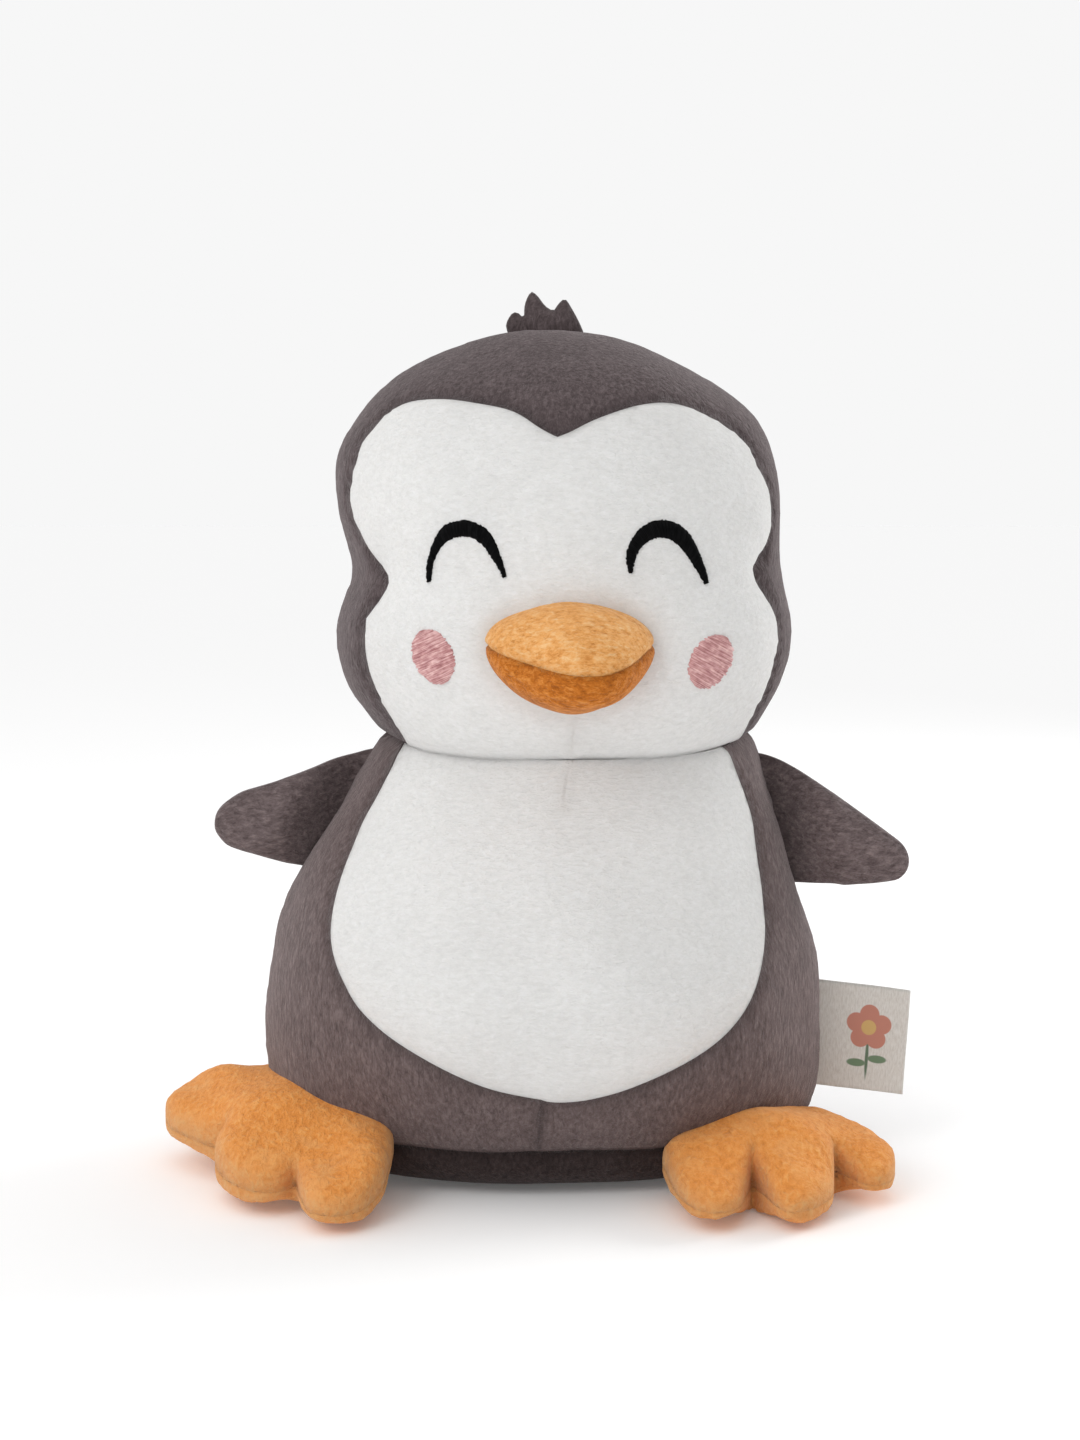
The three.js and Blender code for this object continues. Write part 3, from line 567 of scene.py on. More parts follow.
def ribbon_material():
    g = Graph("woven_ribbon")
    uv = g.node("ShaderNodeAttribute", attribute_name="stitch").outputs["Vector"]
    sep = g.node("ShaderNodeSeparateXYZ")
    g.link(uv, sep.inputs[0])
    u, v = sep.outputs[0], sep.outputs[1]  # millimetres along the ribbon's length and across its width
    warp = g.math("SINE", g.math("MULTIPLY", u, 2 * math.pi / 0.42))
    weft = g.math("SINE", g.math("MULTIPLY", v, 2 * math.pi / 0.36))
    weave = g.math("MULTIPLY", warp, weft)
    grain = g.noise(g.scaled(uv, (2.2, 0.5, 1)), 1.0, 3.0, 0.6)
    tone = g.math("ADD", g.math("MULTIPLY", weave, 0.16), grain)
    colour = g.ramp(tone, [(0.3, srgb(212, 206, 198)), (0.5, srgb(228, 224, 217)), (0.75, srgb(238, 235, 230))])

    def disc(cx, cy, rx, ry, soft=0.25):
        """1 inside an ellipse on the ribbon, 0 outside, with a thread's width of edge."""
        dx = g.math("DIVIDE", g.math("SUBTRACT", u, cx), rx)
        dy = g.math("DIVIDE", g.math("SUBTRACT", v, cy), ry)
        d = g.math("SQRT", g.math("ADD", g.math("MULTIPLY", dx, dx), g.math("MULTIPLY", dy, dy)))
        n = g.node("ShaderNodeMapRange")
        n.inputs["From Min"].default_value = 1.0 - soft / min(rx, ry) / 2
        n.inputs["From Max"].default_value = 1.0 + soft / min(rx, ry) / 2
        n.inputs["To Min"].default_value = 1.0
        n.inputs["To Max"].default_value = 0.0
        g.link(d, n.inputs["Value"])
        return n.outputs[0]

    # a plain woven flower of five petals on a stem with two leaves, in muted threads
    cx, cy = 13.6, 19.4
    colour = g.mix(disc(cx, cy - 9.4, 0.5, 6.2), colour, srgb(104, 124, 100))
    colour = g.mix(disc(cx - 3.2, cy - 11.2, 2.9, 1.2), colour, srgb(118, 142, 112))
    colour = g.mix(disc(cx + 3.2, cy - 9.6, 2.9, 1.2), colour, srgb(118, 142, 112))
    for k in range(5):
        a = math.radians(90 + 72 * k)
        colour = g.mix(disc(cx + 4.1 * math.cos(a), cy + 4.1 * math.sin(a), 3.0, 3.0), colour, srgb(204, 138, 120))
    colour = g.mix(disc(cx, cy, 2.3, 2.3), colour, srgb(220, 182, 118))
    g.link(colour, g.bsdf.inputs["Base Color"])
    g.bsdf.inputs["Roughness"].default_value = 0.72
    g.bsdf.inputs["Specular IOR Level"].default_value = 0.3
    g.bsdf.inputs["Sheen Weight"].default_value = 0.2
    n = g.bump(weave, 0.00010, 0.7)
    n = g.bump(grain, 0.00012, 0.5, n)
    g.link(n, g.bsdf.inputs["Normal"])
    return g.mat


RIBBON = ribbon_material()


def give(obj, name, values, kind="FLOAT_VECTOR"):
    a = obj.data.attributes.new(name, kind, "POINT")
    values = np.asarray(values, np.float32)
    if kind == "FLOAT_VECTOR":
        a.data.foreach_set("vector", values.ravel())
    else:
        a.data.foreach_set("value", values)


# ------------------------------------------------------------------ seams
class Seam:
    def __init__(self, form, q, depth, width, pucker=0.35, reach=7.0, seed=0, widen=None):
        self.form, self.q = form, q
        self.p = form.raw(q[:, 0], q[:, 1])
        step = np.linalg.norm(np.diff(self.p, axis=0), axis=1)
        self.arc = np.concatenate([[0], np.cumsum(step)])
        self.depth = np.full(len(q), float(depth)) if np.isscalar(depth) else np.asarray(depth, float)
        self.width = np.full(len(q), float(width)) if np.isscalar(width) else np.asarray(width, float)
        self.pucker, self.reach = pucker, reach
        r = np.random.RandomState(100 + seed)
        self.k = 2 * np.pi / np.array([4.3, 5.9, 8.1, 12.5])
        self.ph = r.rand(2, 4) * 2 * np.pi
        self.tree = kdtree.KDTree(len(self.p))
        for i, c in enumerate(self.p):
            self.tree.insert(Vector(c), i)
        self.tree.balance()
        self.lo, self.hi = self.p.min(0) - 22, self.p.max(0) + 22

    def near(self, pts):
        d = np.full(len(pts), 1e3)
        i = np.zeros(len(pts), int)
        for k in np.nonzero(((pts > self.lo) & (pts < self.hi)).all(1))[0]:
            _, i[k], d[k] = self.tree.find(Vector(pts[k]))
        return d, i

    def ripple(self, arc, side):
        return np.sin(np.outer(arc, self.k) + self.ph[side]).sum(1) / 2.0


def lipped(x):
    """A rounded lip: 1 at the seam, falling steeply, level at its width."""
    x = np.clip(x, 0, 1)
    return 1 - np.sqrt(np.clip(1 - (1 - x) ** 2, 0, 1))


def sag(p):
    """The neck's seam dips under the chin and rises over the shoulders."""
    y = p[:, 1]
    front = np.clip(-y / 38.0, 0, 1) ** 1.5
    sides = np.clip(1 - np.abs(y) / 30.0, 0, 1)
    return (-3.6 * front + 1.8 * sides) * np.exp(-((p[:, 2] - NECK_Z) / 13.0) ** 2)


def shaped(form, q, seams, pulls=(), side=0, lump=0.55, neck=None):
    """Where the vertices at theta, t come to: pulled in at the seams, puckered beside them, lumpy over the filling."""
    th, t = q[:, 0], q[:, 1]
    p = form.raw(th, t)
    n = form.normal(th, t) * form.sign
    groove = np.zeros(len(p))
    pucker = np.zeros(len(p))
    close = np.full(len(p), 99.0)
    for s in seams:
        d, i = s.near(p)
        groove = np.maximum(groove, s.depth[i] * (0.72 * lipped(d / s.width[i]) + 0.28 * np.exp(-(d / (1.9 * s.width[i])) ** 2)))
        pucker += s.pucker * s.ripple(s.arc[i], side) * (d / (d + 1.0)) * np.exp(-d / s.reach)
        close = np.minimum(close, d)
    move = lump * form.lump(p) + pucker - groove
    for f in pulls:
        move -= f(p)
    direction = n
    if neck is not None:
        cx, a, b, z = neck
        flat = np.stack([(p[:, 0] - cx) / a ** 2, p[:, 1] / b ** 2, np.zeros(len(p))], -1)
        flat /= np.maximum(np.linalg.norm(flat, axis=1, keepdims=True), 1e-9)
        w = np.clip(1 - np.abs(p[:, 2] - z) / 9.0, 0, 1)[:, None]
        w = w * w * (3 - 2 * w)
        direction = n * (1 - w) + flat * w
        direction /= np.maximum(np.linalg.norm(direction, axis=1, keepdims=True), 1e-9)
    made = p + direction * move[:, None]
    if neck is not None:
        made[:, 2] += sag(p)
    return made, direction, close


for f in (head, body):
    p = f.raw(np.array([0.7]), np.array([(f.t0 + f.t1) / 2]))
    f.sign = 1.0 if float((f.normal(np.array([0.7]), np.array([(f.t0 + f.t1) / 2])) * (p - [[5, 0, p[0, 2]]])).sum()) > 0 else -1.0

PI = math.pi
FACE_VIEW = [[-39.9, 128.5], [-40.2, 131.1], [-44.9, 138.8], [-49, 145.9], [-51.2, 152.9], [-51.7, 159.7], [-51.1, 166.6],
             [-49, 170], [-46.2, 175.4], [-48.8, 180.2], [-52.6, 187], [-55, 193.9], [-56.2, 198.5], [-55, 204.1],
             [-53.1, 210.9], [-49, 217.7], [-40.5, 224.3], [-29.4, 225.9], [-19.5, 225.1], [-8.3, 222.4], [0, 218],
             [4.7, 216], [8.5, 217], [16.5, 219.8], [27.8, 223.1], [39.2, 224], [50, 220.8], [59.5, 214.3],
             [63.5, 207.5], [66.7, 200.7], [67.3, 193.9], [66.6, 189], [65.2, 183.6], [62.6, 178.4], [64.8, 173.4],
             [68.3, 166.4], [69.8, 159.4], [68.7, 152.5], [66.5, 145.5], [63.6, 138.1], [60.3, 130.2], [59.9, 128.5]]
BELLY_VIEW = [[-43.2, 128.5], [-42.6, 127.2], [-45.7, 120.8], [-49, 114.2], [-52.6, 107.5], [-55, 100.9], [-57.2, 94.3],
              [-58.7, 87.9], [-59.6, 81.4], [-59.7, 74.9], [-58.3, 68.7], [-55.5, 62.6], [-51.4, 56.4], [-44.4, 50.5],
              [-34.7, 44.4], [-23.3, 38], [-13, 33.8], [0, 31.3], [6, 30.6], [14, 31.3], [25, 34.2], [39.6, 40.5],
              [49.9, 46.3], [56.7, 52.4], [60.9, 58.6], [63.4, 64.8], [65.1, 71], [66.2, 77.4], [66.2, 87.3],
              [65.2, 93.9], [63.9, 100.6], [62.7, 107.2], [60.4, 114], [58, 120.7], [55.6, 127.4], [55.2, 128.5]]


def across(form, t, a, b):
    """The level line at t from theta a to theta b."""
    return on(form, np.stack([np.linspace(a, b, 60), np.full(60, t)], -1), EDGE)


def up(form, th, t0, t1):
    return on(form, np.stack([np.full(60, th), np.linspace(t0, t1, 60)], -1), EDGE)


FACE_VIEW = [[x, z + 2.0 * min(1.0, max(0.0, (z - 200.0) / 14.0)) * min(1.0, abs(x - 4.7) / 14.0)] for x, z in FACE_VIEW]

# head
face_q = on(head, head.front(smooth_line(FACE_VIEW, corners=(21,), per=8)), EDGE)
face_q[0, 1] = face_q[-1, 1] = head.t0
h0, h1 = head.t0, head.t1
FR, FL = face_q[0, 0], face_q[-1, 0]
fp = head.raw(face_q[:, 0], face_q[:, 1])
notch = np.minimum(np.linalg.norm(fp - fp[np.argmin(np.linalg.norm(fp[:, [0, 2]] - [62.6, 178.4], axis=1))], axis=1),
                   np.linalg.norm(fp - fp[np.argmin(np.linalg.norm(fp[:, [0, 2]] - [-46.2, 175.4], axis=1))], axis=1))
pinch = np.exp(-(notch / 9.0) ** 2)
H = {
    "face": Seam(head, face_q, 1.7 + 3.2 * pinch, 3.2 + 5.5 * pinch, 0.30, 6, 1),
    "left": Seam(head, up(head, 0.0, h0, h1), 1.1, 2.8, 0.25, 6, 2),
    "right": Seam(head, up(head, PI, h0, h1), 1.1, 2.8, 0.25, 6, 3),
    "back": Seam(head, up(head, PI / 2, h0, h1), 1.3, 3.2, 0.35, 7, 4),
    "neck_a": Seam(head, across(head, h0, 0, PI / 2), 4.2, 7.0, 0.45, 8, 5),
    "neck_b": Seam(head, across(head, h0, PI / 2, PI), 4.2, 7.0, 0.45, 8, 6),
    "neck_c": Seam(head, across(head, h0, PI, FR), 4.2, 7.0, 0.40, 8, 7),
    "neck_d": Seam(head, across(head, h0, FR, FL), 3.0, 6.5, 0.35, 7, 8),
    "neck_e": Seam(head, across(head, h0, FL, 2 * PI), 4.2, 7.0, 0.40, 8, 9),
}
# creases that part no panels: the chin's tuck, and the pull of the beak's stitching
chin_q = head.front(np.stack([np.linspace(9.8, 8.6, 24), np.linspace(139.0, 128.6, 24)], -1))
a = np.linspace(0, 2 * PI, 90)
beak_q = head.front(np.stack([8.2 + 23.6 * np.cos(a), np.where(np.sin(a) > 0, 158.8 + 12.4 * np.sin(a), 158.8 + 19.0 * np.sin(a))], -1))
H_MARKS = [Seam(head, chin_q, np.linspace(0.5, 1.5, 24), 1.7, 0.2, 4, 20), Seam(head, beak_q, 1.3, 5.0, 0.35, 5, 21)]

# body
b0, b1 = body.t0, body.t1
tb = float(body.t_of_z(14.0))
belly_line = smooth_line(BELLY_VIEW, per=8)
belly_q = on(body, body.front(belly_line), EDGE)
belly_q[0, 1] = belly_q[-1, 1] = b1
BR, BL = belly_q[0, 0], belly_q[-1, 0]
bp = body.raw(belly_q[:, 0], belly_q[:, 1])
mid = int(np.argmin(np.abs(bp[:, 0] - 0.0) + np.where(bp[:, 2] < 60, 0, 500)))
base_front = float(body.front([[-0.8, 14.0]])[0, 0])
hem_q = on(body, np.stack([np.linspace(belly_q[mid, 0], base_front, 40), np.linspace(belly_q[mid, 1], tb, 40)], -1), EDGE)
hem_q[0] = belly_q[mid]
B = {
    "belly_r": Seam(body, belly_q[:mid + 1], 1.5, 3.2, 0.28, 6, 31),
    "belly_l": Seam(body, belly_q[mid:], 1.5, 3.2, 0.28, 6, 32),
    "left": Seam(body, up(body, 0.0, tb, b1), 1.1, 2.8, 0.30, 7, 33),
    "right": Seam(body, up(body, PI, tb, b1), 1.1, 2.8, 0.30, 7, 34),
    "back": Seam(body, up(body, PI / 2, tb, b1), 1.3, 3.2, 0.40, 8, 35),
    "hem": Seam(body, hem_q, 0.9, 2.4, 0.22, 5, 36),
    "neck_a": Seam(body, across(body, b1, 0, PI / 2), 4.2, 7.0, 0.45, 8, 37),
    "neck_b": Seam(body, across(body, b1, PI / 2, PI), 4.2, 7.0, 0.45, 8, 38),
    "neck_c": Seam(body, across(body, b1, PI, BR), 4.2, 7.0, 0.40, 8, 39),
    "neck_d": Seam(body, across(body, b1, BR, BL), 3.0, 6.5, 0.30, 7, 40),
    "neck_e": Seam(body, across(body, b1, BL, 2 * PI), 4.2, 7.0, 0.40, 8, 41),
    "base_a": Seam(body, across(body, tb, 0, PI / 2), 1.6, 3.4, 0.35, 6, 42),
    "base_b": Seam(body, across(body, tb, PI / 2, PI), 1.6, 3.4, 0.35, 6, 43),
    "base_c": Seam(body, across(body, tb, PI, base_front), 1.6, 3.4, 0.35, 6, 44),
    "base_d": Seam(body, across(body, tb, base_front, 2 * PI), 1.6, 3.4, 0.35, 6, 45),
}
dart_q = body.front(np.stack([np.linspace(8.2, 6.5, 24), np.linspace(128.4, 112.5, 24)], -1))
B_MARKS = [Seam(body, dart_q, np.linspace(1.5, 0.35, 24), 1.7, 0.15, 4, 50)]


# The neck's seam is the same line on both forms, so its depth must agree from either side.
def neck_depth(p):
    front = np.clip(-p[:, 1] / 30.0, 0, 1)
    side = 1 - front
    return 3.0 + 2.4 * side


for group in (H, B):
    for key, s in group.items():
        if key.startswith("neck"):
            s.depth = neck_depth(s.p)
            s.width = np.full(len(s.p), 8.0)
            s.k = s.k * 0


def socket(side, depth, z0, z1, reach):
    """The body drawn in where a wing is sewn into its side seam."""

    def f(p):
        x0 = np.where(side < 0, -70.0, 75.0)
        u = np.clip((p[:, 2] - z0) / (z1 - z0), 0, 1)
        along = np.clip(np.sin(np.pi * u), 0, 1) ** 1.3 * (0.55 + 0.75 * u)
        y = p[:, 1] + 3.0
        return depth * along * np.exp(-(y / reach) ** 2) * (np.sign(p[:, 0] - 5) == side) * (u > 0) * (u < 1)

    return f


B_PULLS = [socket(-1, 5.6, 70.0, 136.0, 19.0), socket(1, 3.8, 66.0, 136.0, 19.0)]


def loop(*parts):
    """A closed rim from seam lines end to end; a minus turns one round."""
    out = []
    for s, way in parts:
        q = s.q if way > 0 else s.q[::-1]
        out.append(q[:-1])
    q = np.vstack(out)
    return q


NECK = (7.8, 58.8, 41.2, NECK_Z)


def panel(name, form, rim, seams, material, pulls=(), side=0, lump=0.5, thick=1.3, creases=()):
    q, tri, rimv = panel_mesh(form, rim, creases)
    p, out, close = shaped(form, q, seams, pulls, side, lump, NECK)
    tri = facing(p, tri, out)
    v, faces = shell(p, tri, -out, thick)
    o = make(name, v, faces, material)
    flat = form.raw(q[:, 0], q[:, 1])
    give(o, "rest", np.vstack([flat, flat - out * thick]))
    # seam: nearness to a seam, which the fabric uses to paint shade beside it
    give(o, "seam", np.tile(np.exp(-close / 2.2), 2), "FLOAT")
    return o


hs = list(H.values()) + H_MARKS
bs = list(B.values()) + B_MARKS
face = panel("face_plush", head, loop((H["face"], 1), (H["neck_d"], -1)), hs, WHITE, side=0, lump=0.55, creases=(chin_q,))
hood = panel("hood_plush", head, loop((H["neck_c"], 1), (H["face"], 1), (H["neck_e"], 1), (H["left"], 1), (H["right"], -1)), hs,
             TAUPE_HEAD_SHADE, side=1)
crown_l = panel("head_back_left_plush", head, loop((H["left"], 1), (H["back"], -1), (H["neck_a"], -1)), hs, TAUPE_HEAD_SHADE, side=0)
crown_r = panel("head_back_right_plush", head, loop((H["back"], 1), (H["right"], -1), (H["neck_b"], -1)), hs, TAUPE_HEAD_SHADE, side=1)
belly = panel("belly_plush", body, loop((B["belly_r"], 1), (B["belly_l"], 1), (B["neck_d"], -1)), bs, WHITE, B_PULLS, 0, 0.5, creases=(dart_q,))
front_r = panel("body_front_right_plush", body,
                loop((B["belly_r"], 1), (B["hem"], 1), (B["base_c"], -1), (B["right"], 1), (B["neck_c"], 1)), bs, TAUPE_BODY,
                B_PULLS, 1)
front_l = panel("body_front_left_plush", body,
                loop((B["belly_l"], -1), (B["hem"], 1), (B["base_d"], 1), (B["left"], 1), (B["neck_e"], -1)), bs, TAUPE_BODY,
                B_PULLS, 1)
back_l = panel("body_back_left_plush", body, loop((B["left"], 1), (B["neck_a"], 1), (B["back"], -1), (B["base_a"], -1)), bs,
               TAUPE_BODY, B_PULLS, 0)
back_r = panel("body_back_right_plush", body, loop((B["back"], 1), (B["neck_b"], 1), (B["right"], -1), (B["base_b"], -1)), bs,
               TAUPE_BODY, B_PULLS, 1)
base = panel("base_plush", body, loop((B["base_a"], 1), (B["base_b"], 1), (B["base_c"], 1), (B["base_d"], 1)), bs, TAUPE_BASE_SHADE,
             (), 0, 0.12)


# ------------------------------------------------------------------- beak
class Beak(Form):
    """The same kind of form along -Y: levels are y, centre x, half width, height below and above, roundness, centre z."""

    def raw(self, th, t):
        v = self.sec(t)
        c, s = np.cos(th), np.sin(th)
        n = v[..., 5]
        x = v[..., 1] + v[..., 2] * np.sign(c) * np.abs(c) ** (2 / n)
        z = v[..., 6] + np.where(s > 0, v[..., 4], v[..., 3]) * np.sign(s) * np.abs(s) ** (2 / n)
        return np.stack([x, -48.0 - v[..., 0], z], -1)


BEAK = np.array([
    (0, 8.2, 22.4, 17.6, 11.0, 1.85, 159.0), (5, 8.2, 23.3, 18.6, 11.8, 1.85, 158.9), (9, 8.3, 23.5, 18.6, 12.1, 1.85, 158.5),
    (13, 8.8, 22.4, 17.5, 11.9, 1.88, 157.6), (17, 9.6, 20.0, 15.5, 11.2, 1.9, 156.2), (21, 10.8, 16.2, 12.6, 9.6, 1.94, 154.4),
    (24.5, 12.0, 11.4, 9.0, 7.3, 1.97, 152.8), (27, 12.9, 6.2, 5.1, 4.3, 2.0, 151.6), (28.0, 13.2, 0, 0, 0, 2.0, 151.2)], float)
beak = Beak(BEAK, False, True, 9)
beak.sign = 1.0
_q = np.array([0.7]), np.array([beak.t1 * 0.4])
if float((beak.normal(*_q) * (beak.raw(*_q) - [[8, -55, 156]])).sum()) < 0:
    beak.sign = -1.0
EDGE_WAS, CELL_WAS = EDGE, CELL
EDGE, CELL = EDGE * 0.72, CELL * 0.62
M = {
    "left": Seam(beak, up(beak, 0.0, beak.t0, beak.t1), 1.5, 2.6, 0.30, 4, 61),
    "right": Seam(beak, up(beak, PI, beak.t0, beak.t1), 1.5, 2.6, 0.30, 4, 62),
    "top": Seam(beak, across(beak, beak.t0, 0, PI), 0.0, 1.0, 0.0, 1, 63),
    "under": Seam(beak, across(beak, beak.t0, PI, 2 * PI), 0.0, 1.0, 0.0, 1, 64),
}
ms = [M["left"], M["right"]]
beak.lump = waves(12, 17.0)


def beak_panel(name, rim, side, material):
    q, tri, _ = panel_mesh(beak, rim)
    p, out, close = shaped(beak, q, ms, (), side, 0.35)
    tri = facing(p, tri, out)
    v, faces = shell(p, tri, -out, 1.1)
    o = make(name, v, faces, material)
    flat = beak.raw(q[:, 0], q[:, 1])
    give(o, "rest", np.vstack([flat, flat - out * 1.1]))
    # seam: nearness to a seam, which the fabric uses to paint shade beside it
    give(o, "seam", 0.6 * np.tile(np.exp(-close / 1.6), 2), "FLOAT")
    return o


beak_up = beak_panel("beak_upper_plush", loop((M["left"], 1), (M["right"], -1), (M["top"], -1)), 0, ORANGE_BEAK)
beak_low = beak_panel("beak_lower_plush", loop((M["left"], 1), (M["right"], -1), (M["under"], 1)), 1, ORANGE_BEAK_UNDER_SHADE)
EDGE, CELL = EDGE_WAS, CELL_WAS


# ------------------------------------------------------------------- pads
def flat_mesh(outline, cell):
    """A planar mesh of an outline, finer beside its edge: points, triangles, distance in, way in, place along the edge."""
    n = len(outline)
    ahead = np.roll(outline, -1, 0) - np.roll(outline, 1, 0)
    area = 0.5 * np.sum(outline[:, 0] * np.roll(outline[:, 1], -1) - np.roll(outline[:, 0], -1) * outline[:, 1])
    inward = np.stack([-ahead[:, 1], ahead[:, 0]], -1) * np.sign(area)
    inward /= np.maximum(np.linalg.norm(inward, axis=1, keepdims=True), 1e-9)
    extra = []
    for d in (0.3, 0.8, 1.5):
        extra.append((outline + inward * d, d))
    lo, hi = outline.min(0), outline.max(0)
    gy = np.arange(lo[1], hi[1], cell * 0.866)
    grid = []
    for j, y in enumerate(gy):
        gx = np.arange(lo[0] + (0.5 * cell if j % 2 else 0), hi[0], cell)
        grid.append(np.stack([gx, np.full(len(gx), y)], -1))
    extra.append((np.vstack(grid), 2.3))
    arc = np.concatenate([[0], np.cumsum(np.linalg.norm(np.diff(np.vstack([outline, outline[:1]]), axis=0), axis=1))])[:-1]
    pts, dist, way, along = [outline], [np.zeros(n)], [inward], [arc]
    dense = resample(np.vstack([outline, outline[:1]]), 0.25)
    for p, d in extra:
        p = p[in_polygon(p, outline)]
        got, _ = nearest(np.c_[p, np.zeros(len(p))], np.c_[dense, np.zeros(len(dense))])
        keep = got > d * 0.86
        p = p[keep]
        got, i = nearest(np.c_[p, np.zeros(len(p))], np.c_[dense, np.zeros(len(dense))])
        w = (p - dense[i]) / np.maximum(got, 1e-6)[:, None]
        pts.append(p)
        dist.append(got)
        way.append(w)
        along.append(i * arc[-1] / len(dense))
    pts = np.vstack(pts)
    dist, way, along = np.concatenate(dist), np.vstack(way), np.concatenate(along)
    vs, _, fs, ov, _, _ = delaunay_2d_cdt([Vector(p) for p in pts], [], [list(range(n))], 1, 1e-7)
    src = np.array([o[0] if o else -1 for o in ov])
    tri = np.array([[src[i] for i in f] for f in fs])
    tri = tri[(tri >= 0).all(1)]
    used = np.unique(tri)
    remap = -np.ones(len(pts), int)
    remap[used] = np.arange(len(used))
    return pts[used], remap[tri], dist[used], way[used], along[used]


def membrane(xy, tri, dist):
    """Height of an even stuffing under a flat skin held at its edge: a circle's section where the outline is a strip."""
    n = len(xy)
    k = np.zeros((n, n))
    m = np.zeros(n)
    for a, b, c in ((0, 1, 2), (1, 2, 0), (2, 0, 1)):
        i, j, o = tri[:, a], tri[:, b], tri[:, c]
        u, v = xy[i] - xy[o], xy[j] - xy[o]
        cross = np.abs(u[:, 0] * v[:, 1] - u[:, 1] * v[:, 0]) + 1e-9
        w = np.clip((u * v).sum(1) / cross / 2, -5, 5)
        np.add.at(k, (i, j), -w)
        np.add.at(k, (j, i), -w)
        np.add.at(k, (i, i), w)
        np.add.at(k, (j, j), w)
        np.add.at(m, o, cross / 6)
    free = dist > 1e-9
    u = np.zeros(n)
    u[free] = np.linalg.solve(k[np.ix_(free, free)], m[free])
    return np.sqrt(np.maximum(2 * u, 0))


def pad(names, outline, place, front, back, material, cell=1.9, corners=(), lump=0.5, seed=0, skin=1.1, pinch=1.0,
        puck=0.3, height=None, floor=None):
    """Two panels sewn round an outline and stuffed: place(xy, w) puts a point of the plane, w off it, in the drawing."""
    line = smooth_line(outline, corners=corners, per=8, closed=True)
    line = resample(np.vstack([line, line[:1]]), 1.3)[:-1]
    xy, tri, d, way, along = flat_mesh(line, cell)
    h = membrane(xy, tri, d)
    if height is not None:
        h = height(xy, h)
    shift = 3.0 * pinch * np.exp(-d / 1.2) - 2.3 * pinch * np.exp(-d / 8.0)
    xy2 = xy + way * shift[:, None]
    r = np.random.RandomState(seed)
    kk, ph = 2 * np.pi / np.array([4.6, 6.4, 9.0, 14.0]), r.rand(2, 4) * 2 * np.pi
    field = waves(seed + 7, 22.0)
    made = []
    for side, (name, share) in enumerate(zip(names, (front, back))):
        w = share * h
        rim = d < 1e-9
        soft = lump * field(np.c_[xy2, np.full(len(xy2), 40.0 * side)]) * np.clip(h / 8, 0, 1)
        soft += puck * (np.sin(np.outer(along, kk) + ph[side]).sum(1) / 2) * (d / (d + 1)) * np.exp(-d / 6.0)
        w = np.where(rim, 0, np.maximum(w + soft, 0.25 * w + 0.05))
        sign = 1 if side == 0 else -1
        outer = place(xy2, sign * w)
        inner = place(xy2 + way * (skin * np.exp(-d / 3.0))[:, None],
                      sign * np.where(rim, 0, np.maximum(w - skin * np.clip(h / 4, 0.3, 1), 0.3 * w)))
        if floor is not None:
            outer[:, 2] = np.maximum(outer[:, 2], floor)
            inner[:, 2] = np.maximum(inner[:, 2], floor + 0.6)
        t3 = tri.copy()
        a2 = xy[t3]
        turn = ((a2[:, 1, 0] - a2[:, 0, 0]) * (a2[:, 2, 1] - a2[:, 0, 1]) - (a2[:, 1, 1] - a2[:, 0, 1]) * (a2[:, 2, 0] - a2[:, 0, 0])) < 0
        t3[turn] = t3[turn][:, ::-1]
        off = place(xy2, np.full(len(xy2), sign * 1.0)) - place(xy2, np.zeros(len(xy2)))
        face_n = np.cross(outer[t3[:, 1]] - outer[t3[:, 0]], outer[t3[:, 2]] - outer[t3[:, 0]])
        if (face_n * off[t3].mean(1)).sum() < 0:
            t3 = t3[:, ::-1]
        n = len(outer)
        edge = rims_of(t3)
        faces = [list(map(int, f)) for f in t3] + [[int(n + f[2]), int(n + f[1]), int(n + f[0])] for f in t3]
        faces += [[int(b), int(a), int(n + a), int(n + b)] for a, b in edge]
        o = make(name, np.vstack([outer, inner]), faces, material)
        rest = place(xy, sign * share * h)
        give(o, "rest", np.vstack([rest, rest]))
        # seam: nearness to the edge seam, which the fabric uses to paint shade beside it, and on the feet a highlight
        give(o, "seam", np.tile(np.exp(-np.maximum(d - 0.6, 0) / 1.5), 2), "FLOAT")
        made.append(o)
    return made


WING_R = [(-49.7, 124.3), (-56.3, 122.8), (-62.5, 121.3), (-69, 118.9), (-74.7, 117), (-80, 115.1), (-85.1, 113.6),
          (-89.6, 112.1), (-94.1, 109.1), (-96.2, 106.7), (-97.1, 104), (-96.9, 100.4), (-93.6, 96.2), (-89.2, 94.4),
          (-84.8, 93.2), (-78.8, 91.4), (-73.2, 89.9), (-67, 88.6), (-58, 88), (-50, 94), (-45.5, 106), (-43.5, 117), (-45, 123)]
WING_L = [(63.7, 123.1), (70.2, 121.9), (77.3, 118.6), (86.6, 112.7), (92.6, 108.5), (98, 104.6), (103.7, 100.4),
          (108.5, 96.5), (110.4, 92.3), (109.8, 88.4), (107.2, 85.7), (104.8, 85.1), (99.8, 84.5), (94.7, 84.2),
          (90.8, 83.9), (87, 84.3), (77.7, 83.8), (69, 83.6), (61, 91), (56.5, 104), (55.5, 116), (58, 122.6)]


def wing_place(side, root, tip, y0, y1):
    def f(xy, w):
        u = np.clip((side * xy[:, 0] - root) / (tip - root), 0, 1)
        v = np.clip(u / 0.55, 0, 1)
        y = y0 + (y1 - y0) * v * v * (3 - 2 * v)
        return np.stack([xy[:, 0], y - w, xy[:, 1]], -1)

    return f




